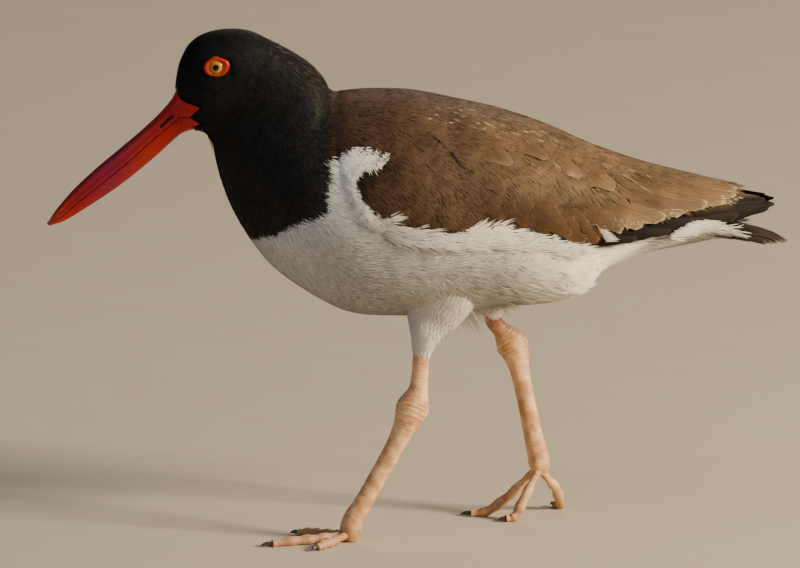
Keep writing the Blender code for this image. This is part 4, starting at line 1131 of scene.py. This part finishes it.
def vane_shape(rows, columns):
    """A flat closed leaf: for each corner its place across from -1 to 1, its share of the length, its layer,
    and its faces with the side each looks to."""
    mesh = bmesh.new()
    bmesh.ops.create_grid(mesh, x_segments=columns, y_segments=rows, size=1)
    copy = bmesh.ops.duplicate(mesh, geom=mesh.verts[:] + mesh.edges[:] + mesh.faces[:])
    below = [item for item in copy["geom"] if isinstance(item, bmesh.types.BMFace)]
    bmesh.ops.reverse_faces(mesh, faces=below)
    inner = {vert for face in below for vert in face.verts if max(abs(vert.co.x), abs(vert.co.y)) < 0.999}
    bmesh.ops.translate(mesh, vec=(0, 0, -1), verts=list(inner))
    for face in below:
        face.material_index = 1
    bmesh.ops.remove_doubles(mesh, verts=mesh.verts, dist=1e-4)
    mesh.verts.index_update()
    corners = np.array([vert.co[:] for vert in mesh.verts])
    faces = np.array([[vert.index for vert in face.verts] for face in mesh.faces])
    flips = np.array([1 - 2 * face.material_index for face in mesh.faces])
    mesh.free()
    return corners[:, 0], (corners[:, 1] + 1) / 2, corners[:, 2], faces, flips


def islands(count, gap=0.1):
    """Square places of their own for the pieces of one mesh: lower corners and size."""
    wide = math.ceil(math.sqrt(count))
    i = np.arange(count)
    return np.stack([i % wide + gap / 2, i // wide + gap / 2], -1) / wide, (1 - gap) / wide


def vanes(name, ground, roots, tips, widths, lifts, colours, material, seed, nodes=(),
          rows=8, columns=6, tilt=0.3, camber=0.45, taper=0.5, thick=0.28, fray=1.0, worn=0.5):
    """Feathers with a shaft and two webs, laid on a surface from root to tip and lapped like shingles.

    Colours gives the colour at every corner. Worn is how pale their edges are.
    """
    surface, facing, _ = ground
    draw = np.random.default_rng(seed)
    count = len(roots)
    across, share, layer, faces, flips = vane_shape(rows, columns)
    size = len(across)
    widths = np.broadcast_to(widths, count)[:, None]
    line = roots[:, None] + (tips - roots)[:, None] * share[None, :, None]
    u, v = line[..., 0], line[..., 1]
    _, along_u, along_v, out = bearings(surface, u, v, facing)
    step = (tips - roots)[:, None] * 0.02
    ahead = surface(u + step[..., 0], v + step[..., 1]) - surface(u - step[..., 0], v - step[..., 1])
    ahead = unit(ahead)
    aside = np.cross(ahead, out)
    outline = (1 - taper * smooth(share, 0.55, 1.0)) * (0.45 + 0.55 * smooth(share, 0.0, 0.35))
    outline = outline * np.sqrt(np.clip(1.0 - smooth(share, 0.86, 1.12) ** 2 * 0.75, 0.05, 1))
    rim, last = np.abs(across) > 0.999, share > 0.999
    ragged = draw.normal(0, 0.05 * fray, (count, size)) * (rim | last)
    over = across[None] * (outline[None] + ragged) * widths / 2
    forth = -np.abs(across[None]) ** 2.2 * smooth(share, 0.5, 1.0)[None] * widths * 0.42
    forth = forth + draw.normal(0, 0.25 * fray, (count, size)) * last * (widths / 12)
    forth = forth + np.abs(across[None]) * widths * 0.12 * smooth(share, 0.2, 0.7)[None]
    move = aside * over[..., None] + ahead * forth[..., None]
    du, dv = shifts(along_u, along_v, move)
    at, _, _, outward = bearings(surface, u + du, v + dv, facing)
    hump = np.sin(share * math.pi * 0.8 + 0.3)
    phase = draw.random((count, 1)) * 6
    ripple = draw.normal(0, 0.08, (count, 1)) + 0.1 * np.sin(share * 9 + across * 3 + phase)
    height = lifts[0] + (lifts[1] - lifts[0]) * share**0.8 + camber * (1 - across**2) * hump
    height = height + tilt * across * 0.5 + ripple * (0.4 + share)
    inside = (layer < -0.5) * thick * (1 - 0.6 * share)
    corners = at + outward * (height - inside)[..., None]
    corners[..., 2] = np.maximum(corners[..., 2], 0.2)
    slope = (tilt * 0.5 - 2 * across * camber * hump) / (widths / 2)
    ends = 0.35 * smooth(share, 0.6, 1.0) - 0.12
    normals = outward - aside * slope[..., None] * 1.3 + ahead * ends[None, :, None]
    # Painted shade: each feather darkens towards its root, under the feathers over it, and its tone varies a little
    # at random
    shade = (0.85 + 0.2 * share)[None, :, None] * (1 + draw.normal(0, 0.07, (count, 1, 1)))
    tints = np.concatenate([colours(at) * shade, np.full((count, size, 1), worn)], -1)
    lower, extent = islands(count)
    flat = np.stack([(across + 1) / 2, share], -1)
    patches = {
        "OFBake": lower[:, None] + flat[None] * extent,
        "vane": np.broadcast_to(flat, (count, size, 2)),
    }
    many(name, corners, faces, tints, patches, normals, flips, material, "brown_plumage", *nodes)


def laid(side, roots, length):
    """Tips of feathers that hang back and down from their roots, as the wing's feathers lie."""
    slope = wing_slope(roots[:, 0], roots[:, 1])
    half = at_first(ENVELOPE, roots[:, 0])[:, 3]
    return roots + np.stack([length * np.cos(slope), np.degrees(length * np.sin(slope) / half)], -1)


def staggered(fronts, rears, rows, columns, seed):
    """Roots in staggered rows over a patch, from the rear row to the front one. Fronts and rears are the
    patch's upper and lower corners, each x and angle."""
    draw = np.random.default_rng(seed)
    found = []
    for i in range(rows):
        f = (i + 0.5) / rows
        top = np.array(fronts[0], float) * (1 - f) + np.array(rears[0], float) * f
        low = np.array(fronts[1], float) * (1 - f) + np.array(rears[1], float) * f
        g = (np.arange(columns) + 0.25 + 0.5 * (i % 2))[:, None] / columns + draw.normal(0, 0.02, (columns, 1))
        found.append(top * (1 - g) + low * g)
    return np.concatenate(found[::-1])


def make_wings():
    """The firm feathers of the folded wings, under the soft ones, and the mantle between them."""
    for side, word in SIDES:
        envelope = wing(side)
        ground = (envelope, side, 1)
        lean = 0.5 * -side

        def by_place(at):
            angle, _ = wing_place(at)
            return wing_brown(at, angle)

        def flight(at):
            angle, _ = wing_place(at)
            far = smooth(at[..., 0], 146, 156)
            # Painted shade: the lower part of the flight feathers is near black, partly their own dark brown and
            # partly the shade under the tertials
            low = smooth(angle, 60 - 35 * far, 78 - 33 * far)[..., None]
            dark = smooth(at[..., 0], 160 - 8 * low[..., 0], 165)[..., None]
            brown = linear(TAWNY) * 0.45 * (1 - low) + linear("19120d") * low
            return brown * (1 - dark) + linear("0e0b09") * dark

        plans = (
            # name, front corners, rear corners, rows, columns, length, width, lifts
            ("lesser", ((-26, 62), (-20, 86)), ((0, 50), (4, 86)), 4, 6, 14, 12, (-2.6, -1.5)),
            ("median", ((-2, 44), (2, 82)), ((34, 50), (30, 84)), 4, 6, 18, 14, (-2.6, -1.5)),
            ("greater", ((26, 46), (28, 78)), ((74, 52), (64, 84)), 3, 7, 26, 15, (-2.6, -1.5)),
            ("scapular", ((-36, 20), (-34, 44)), ((62, 16), (52, 44)), 7, 4, 28, 17, (-2.6, -1.5)),
        )
        for index, (name, fronts, rears, rows, columns, length, width, lifts) in enumerate(plans):
            roots = staggered(fronts, rears, rows, columns, 100 + index)
            tips = laid(side, roots, length)
            tips[:, 1] = np.minimum(tips[:, 1], over_rows(WING_EDGE, tips[:, 0]) + 1.5)
            nodes = (f"wing_{word}",) if index == 0 else ()
            vanes(f"{name}_feathers_{word}", ground, roots, tips, width, lifts, by_place, VANES, 120 + index,
                  nodes=nodes, tilt=lean, worn=0.15)
        tips = np.array(((104, 92), (120, 87), (137, 84), (152, 87), (166.5, 89), (165, 46), (168.7, 76)))
        roots = np.array(((60, 93), (62, 86), (64, 82), (67, 78), (70, 74), (76, 40), (76, 48)))
        vanes(f"primaries_{word}", ground, roots, tips, (10, 10, 10, 9, 9, 12, 12), (-3.4, -1.0), flight, FLIGHT, 140,
              rows=16, tilt=lean, worn=0.06)
        tips = np.array(((97, 85), (107, 80), (117, 74), (127, 68), (137, 61), (146, 55), (151, 40), (151, 24)))
        roots = tips - np.array(((42, 36), (50, 30), (58, 26), (64, 24), (70, 24), (76, 24), (78, 14), (78, 4)))
        vanes(f"tertials_{word}", ground, roots, tips, 14, (-2.0, 0.5), by_place, TERTIAL, 141, rows=14, tilt=lean,
              worn=0.75)
        tips = np.array(((72, 92), (79, 95), (85, 95)))
        vanes(f"secondaries_{word}", ground, tips - np.array((30, 28)), tips, 14, (-1.8, 1.3), by_place, TERTIAL, 142,
              rows=12, tilt=0.0, worn=0.2)
        tips = np.array(((44, 52), (61, 42), (77, 48), (93, 51)))
        vanes(f"scapular_tips_{word}", ground, tips - np.array((26, 24)), tips, 20, (-1.8, 0.55), by_place, TERTIAL, 143,
              rows=12, columns=8, tilt=0.0, camber=0.45, fray=0.6, worn=0.2)
        roots = staggered(((20, 52), (22, 76)), ((58, 48), (54, 76)), 3, 4, 144)
        length = 17 + 6 * smooth(roots[:, 0], 0, 40) + np.random.default_rng(146).normal(0, 1.2, len(roots))
        tips = laid(side, roots, length)
        tips[:, 1] = np.minimum(tips[:, 1], over_rows(WING_EDGE, tips[:, 0]) - 1)
        vanes(f"covert_tips_{word}", ground, roots, tips, 15, (-1.7, 0.3), by_place, TERTIAL, 145,
              tilt=0.0, camber=0.5, fray=0.7, worn=0.12)
    roots = staggered(((-36, -20), (-36, 20)), ((64, -14), (64, 14)), 9, 4, 150)
    tips = roots + np.array([34, 0])
    vanes("mantle_feathers", (wing(1), 1, 1), roots, tips, 15, (-2.2, -0.6), by_place, VANES, 151, nodes=("mantle",),
          tilt=0.0, worn=0.2)


def make_tail():
    """Twelve tail feathers, the middle pair on top."""

    def colours(at):
        dark = smooth(np.abs(at[..., 1]), 15, 18)[..., None] * 0.6
        return linear("2e2218") * (1 - dark) + linear("150e0a") * dark

    f = np.linspace(-0.93, 0.93, 12)
    f = f[np.argsort(-np.abs(f))]
    roots = np.stack([np.full(12, 120.0), f * 0.5], -1)
    tips = np.stack([175.2 - 11 * np.abs(f) ** 1.8, f * 0.93], -1)
    for index in range(2):
        half = slice(index * 6, index * 6 + 6)
        lift = 0.5 * index
        vanes(f"tail_feathers_{('outer', 'inner')[index]}", (tail, 1, 1), roots[half], tips[half], 13,
              (-1.6 + lift, -0.8 + lift), colours, FLIGHT, 160 + index, nodes=("tail",) if index else (), rows=14,
              tilt=0.0, worn=0.35)


def nostril(x, z):
    """1 within the nostril's slit and 0 outside it, from the side."""
    start, end = np.array(NOSTRIL_FROM, float), np.array(NOSTRIL_TO, float)
    along_slit = np.clip(((x - start[0]) * (end - start)[0] + (z - start[1]) * (end - start)[1])
                         / np.sum((end - start) ** 2), 0, 1)
    near = start[:, None] + (end - start)[:, None] * along_slit
    return 1 - smooth(np.hypot(x - near[0], z - near[1]), 0.25, 0.75)


def make_bill():
    """The two halves of the bill, and the red bare skin at the corners of the mouth."""

    def halves(upper):
        def point(u, v):
            row = along(BILL, u * (len(BILL) - 1))
            peak = row[:, 0:2] if upper else row[:, 4:6]
            edge, half = row[:, 2:4], row[:, 6]
            away = unit(peak - edge)
            edge = edge + away * MOUTH_GAP / 2
            arch = v < 0.72
            turn = np.where(arch, v / 0.72, (1 - v) / 0.28) * math.pi
            rise = np.where(arch, np.sin(turn) ** 0.8, 0)
            across = half * np.cos(turn)
            flat = edge + (peak - edge) * rise[:, None]
            if upper:
                groove = np.exp(-(((rise - 0.45) / 0.13) ** 2)) * smooth(-row[:, 0], -148, -116)
                across = across * (1 - 0.12 * groove * arch)
                across = across - np.sign(across) * 1.1 * nostril(flat[:, 0], flat[:, 1]) * arch
            return np.stack([flat[:, 0], across, flat[:, 1]], -1)

        return point

    for word, upper in (("upper", True), ("lower", False)):
        point = halves(upper)

        # Painted shade inside the nostril's slit, on the upper half only
        def hollow(u, v):
            at = point(u, v)
            return nostril(at[:, 0], at[:, 2]) * (v < 0.72) * upper

        mesh = sheet(point, 180, 72, hollow=hollow)
        finished(f"bill_{word}_horn", mesh, HORN, "bill_horn", f"bill_{word}")

    t, turn = np.meshgrid(np.linspace(19, FACE, 160), np.linspace(0.3, math.pi - 0.1, 120), indexing="ij")
    cheek = body(t, turn).reshape(-1, 3)
    for side, side_word in SIDES:
        for word, (above, below) in LOBES.items():

            def lobe(u, v):
                w = np.where(v < 0.5, v * 2, 2 - v * 2)[:, None]
                upper_edge, lower_edge = along(above, u * 3), along(below, u * 3)
                flat = upper_edge * (1 - w) + lower_edge * w
                gaps = (cheek[None, :, 0] - flat[:, :1]) ** 2 + (cheek[None, :, 2] - flat[:, 1:]) ** 2
                reach = cheek[np.argsort(gaps, 1)[:, :4], 1].mean(1)
                swell = np.sin(math.pi * w[:, 0]) ** 0.6
                lift = np.where(v < 0.5, 0.1 + 0.35 * swell * (1 - 0.5 * u), 0.1 - 1.6 * swell) - 0.7 * (1 - smooth(u, 0, 0.35))
                y = np.maximum(reach, 6.2) + lift
                return np.stack([flat[:, 0], side * y, flat[:, 1]], -1)

            finished(f"mouth_corner_{word}_{side_word}", sheet(lobe, 24, 24), HORN, "bill_horn")


def make_eyes():
    """The eyeballs, and the fleshy rings round them, which are drawn out to a point behind."""
    for side, word in SIDES:
        mesh = bmesh.new()
        bmesh.ops.create_uvsphere(mesh, u_segments=48, v_segments=32, radius=EYE_RADIUS)
        bmesh.ops.translate(mesh, vec=(EYE[0], side * EYE[1], EYE[2]), verts=mesh.verts)
        finished(f"eyeball_{word}", mesh, GLAZE, "iris", f"eye_{word}")

        def ring(u, v):
            turn, roll = u * 2 * math.pi, v * 2 * math.pi
            peak = np.maximum(0, np.cos(turn - math.radians(32)))
            inner = 3.2 + 0.5 * peak**8
            outer_x, outer_z = 5.95 + 0.9 * peak**5, 4.55 + 0.6 * peak**5 + 0.25 * np.maximum(0, -np.sin(turn))
            mid_x, mid_z = (inner + outer_x) / 2, (inner + outer_z) / 2
            wide_x, wide_z = (outer_x - inner) / 2, (outer_z - inner) / 2
            x = EYE[0] + np.cos(turn) * (mid_x + wide_x * np.cos(roll))
            z = EYE[2] + np.sin(turn) * (mid_z + wide_z * np.cos(roll))
            folds = 0.12 * np.sin(turn * 13) * np.maximum(0, np.cos(roll + 0.6))
            groove = 0.3 * np.exp(-(((roll - 1.9) / 0.35) ** 2))
            tuck = np.where(np.cos(roll) > 0, -0.45, 0.1) * np.cos(roll)
            y = LID_Y + 0.75 * np.sin(roll) + tuck + folds - groove
            return np.stack([x, side * y, z], -1)

        mesh = sheet(ring, 96, 24, closed=False)
        finished(f"eyelid_ring_{word}", mesh, LID_SKIN, "eye_ring", f"eyelid_{word}")


def bare_limb(name, rows, columns, around, swell, *nodes):
    """A scaly leg or toe over rows of a limb, with its length in millimetres kept at every corner."""
    shape, count = limb(rows), len(rows) - 1
    places = along(rows, np.arange(count * 8 + 1) / 8)[:, :3]
    lengths = np.concatenate([[0], np.cumsum(np.linalg.norm(np.diff(places, axis=0), axis=1))])

    def point(u, v):
        t, turn = u * count, v * 2 * math.pi
        at, _, _, out = bearings(shape, t, turn, -1)
        at = at + out * swell(t, turn)[:, None]
        at[:, 2] = np.maximum(at[:, 2], 0.05)
        return at

    mesh = sheet(point, columns, around, run=lambda u, v: np.interp(u * count * 8, np.arange(len(lengths)), lengths))
    finished(name, mesh, LEG_SKIN, "leg_scales", *nodes)


def make_legs():
    """The bare legs, toes and claws."""
    for _, word in SIDES:
        knee = {"left": 5, "right": 4}[word]

        def folds(t, turn):
            return 0.13 * np.sin(t * 15 + 1.6 * np.sin(turn * 2 + t) + np.sin(turn * 3)) * np.exp(-(((t - knee) / 1.2) ** 2))

        bare_limb(f"leg_{word}", LEGS[word], 190, 44, folds, f"shank_{word}", f"tarsus_{word}")
    for name, (line, claw_tip) in TOES.items():
        rows = [(*point, half, half) for point, half in zip(line, TOE_HALF)]
        root = np.array(line[0]) - 4.0 * unit(np.array(line[1]) - np.array(line[0]))
        rows = [(*root, TOE_HALF[0], TOE_HALF[0]), *rows]

        def pads(t, turn):
            return 0.28 * np.cos(t * 2 * math.pi * 1.25) * smooth(t, 0.6, 1.4)

        bare_limb(f"toe_skin_{name}", rows, 60, 24, pads, f"toe_{name}")
        end, before, tip = np.array(line[-1]), np.array(line[-2]), np.array(claw_tip)
        start = end - 1.2 * unit(end - before)
        middle = start * 0.4 + tip * 0.6 + np.array([0, 0, 0.5])
        claw = limb([(*start, 1.25, 1.25), (*middle, 0.95, 0.95), (*tip, 0.2, 0.2)])
        mesh = sheet(lambda u, v: claw(u * 2, v * 2 * math.pi), 20, 16)
        finished(f"claw_horn_{name}", mesh, CLAW, "claw_horn", f"claw_{name}")


def make_studio():
    """A pale floor, a warm soft light from behind on the right with a weak cool fill, and the camera."""
    mesh = bmesh.new()
    bmesh.ops.create_grid(mesh, x_segments=1, y_segments=1, size=30)
    data = bpy.data.meshes.new("floor")
    mesh.to_mesh(data)
    mesh.free()
    floor = bpy.data.objects.new("floor", data)
    bpy.context.scene.collection.objects.link(floor)
    data.materials.append(PAPER)
    floor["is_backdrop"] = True

    centre = np.array([-8.06, 0.0, 119.0]) * MM
    elevation, distance = math.radians(12), 8.0
    camera = bpy.data.cameras.new("camera")
    camera.lens, camera.sensor_width = 759.5, 36
    camera.clip_end = 100
    eye = bpy.data.objects.new("camera", camera)
    bpy.context.scene.collection.objects.link(eye)
    eye.location = centre + distance * np.array([0, -math.cos(elevation), math.sin(elevation)])
    eye.rotation_euler = (math.pi / 2 - elevation, 0, 0)
    bpy.context.scene.camera = eye

    lights = (
        # name, place in metres, size, watts, colour
        ("key", (2.2, -0.85, 1.05), 0.6, 150, "ffefd4"),
        ("fill", (-1.2, -1.4, 2.4), 1.8, 14, "bcd6ff"),
        ("back", (0.4, 1.8, 1.6), 1.2, 14, "fff4e6"),
        ("low", (-1.6, -1.2, 0.5), 1.2, 3, "cfdcff"),
    )
    for name, place, size, watts, code in lights:
        light = bpy.data.lights.new(name, "AREA")
        light.size, light.energy, light.color = size, watts, linear(code)
        lamp = bpy.data.objects.new(name, light)
        bpy.context.scene.collection.objects.link(lamp)
        lamp.location = place
        aim = np.array(place) - centre
        lamp.rotation_euler = (math.atan2(math.hypot(aim[0], aim[1]), aim[2]), 0, math.atan2(aim[1], aim[0]) + math.pi / 2)
    world = bpy.data.worlds.new("studio air")
    world.use_nodes = True
    world.node_tree.nodes["Background"].inputs["Color"].default_value = paint("bfc4c8")
    world.node_tree.nodes["Background"].inputs["Strength"].default_value = 0.16
    bpy.context.scene.world = world


make_skin()
make_coats()
make_wings()
for wing_side, wing_word in SIDES:
    wing_tufts(wing_side, wing_word)
make_tail()
make_bill()
make_eyes()
make_legs()
make_studio()

sizes = {"cad": cad_box, "visual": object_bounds()}
{name: [[round(c, 6) for c in p] for p in box] for name, box in sizes.items()}
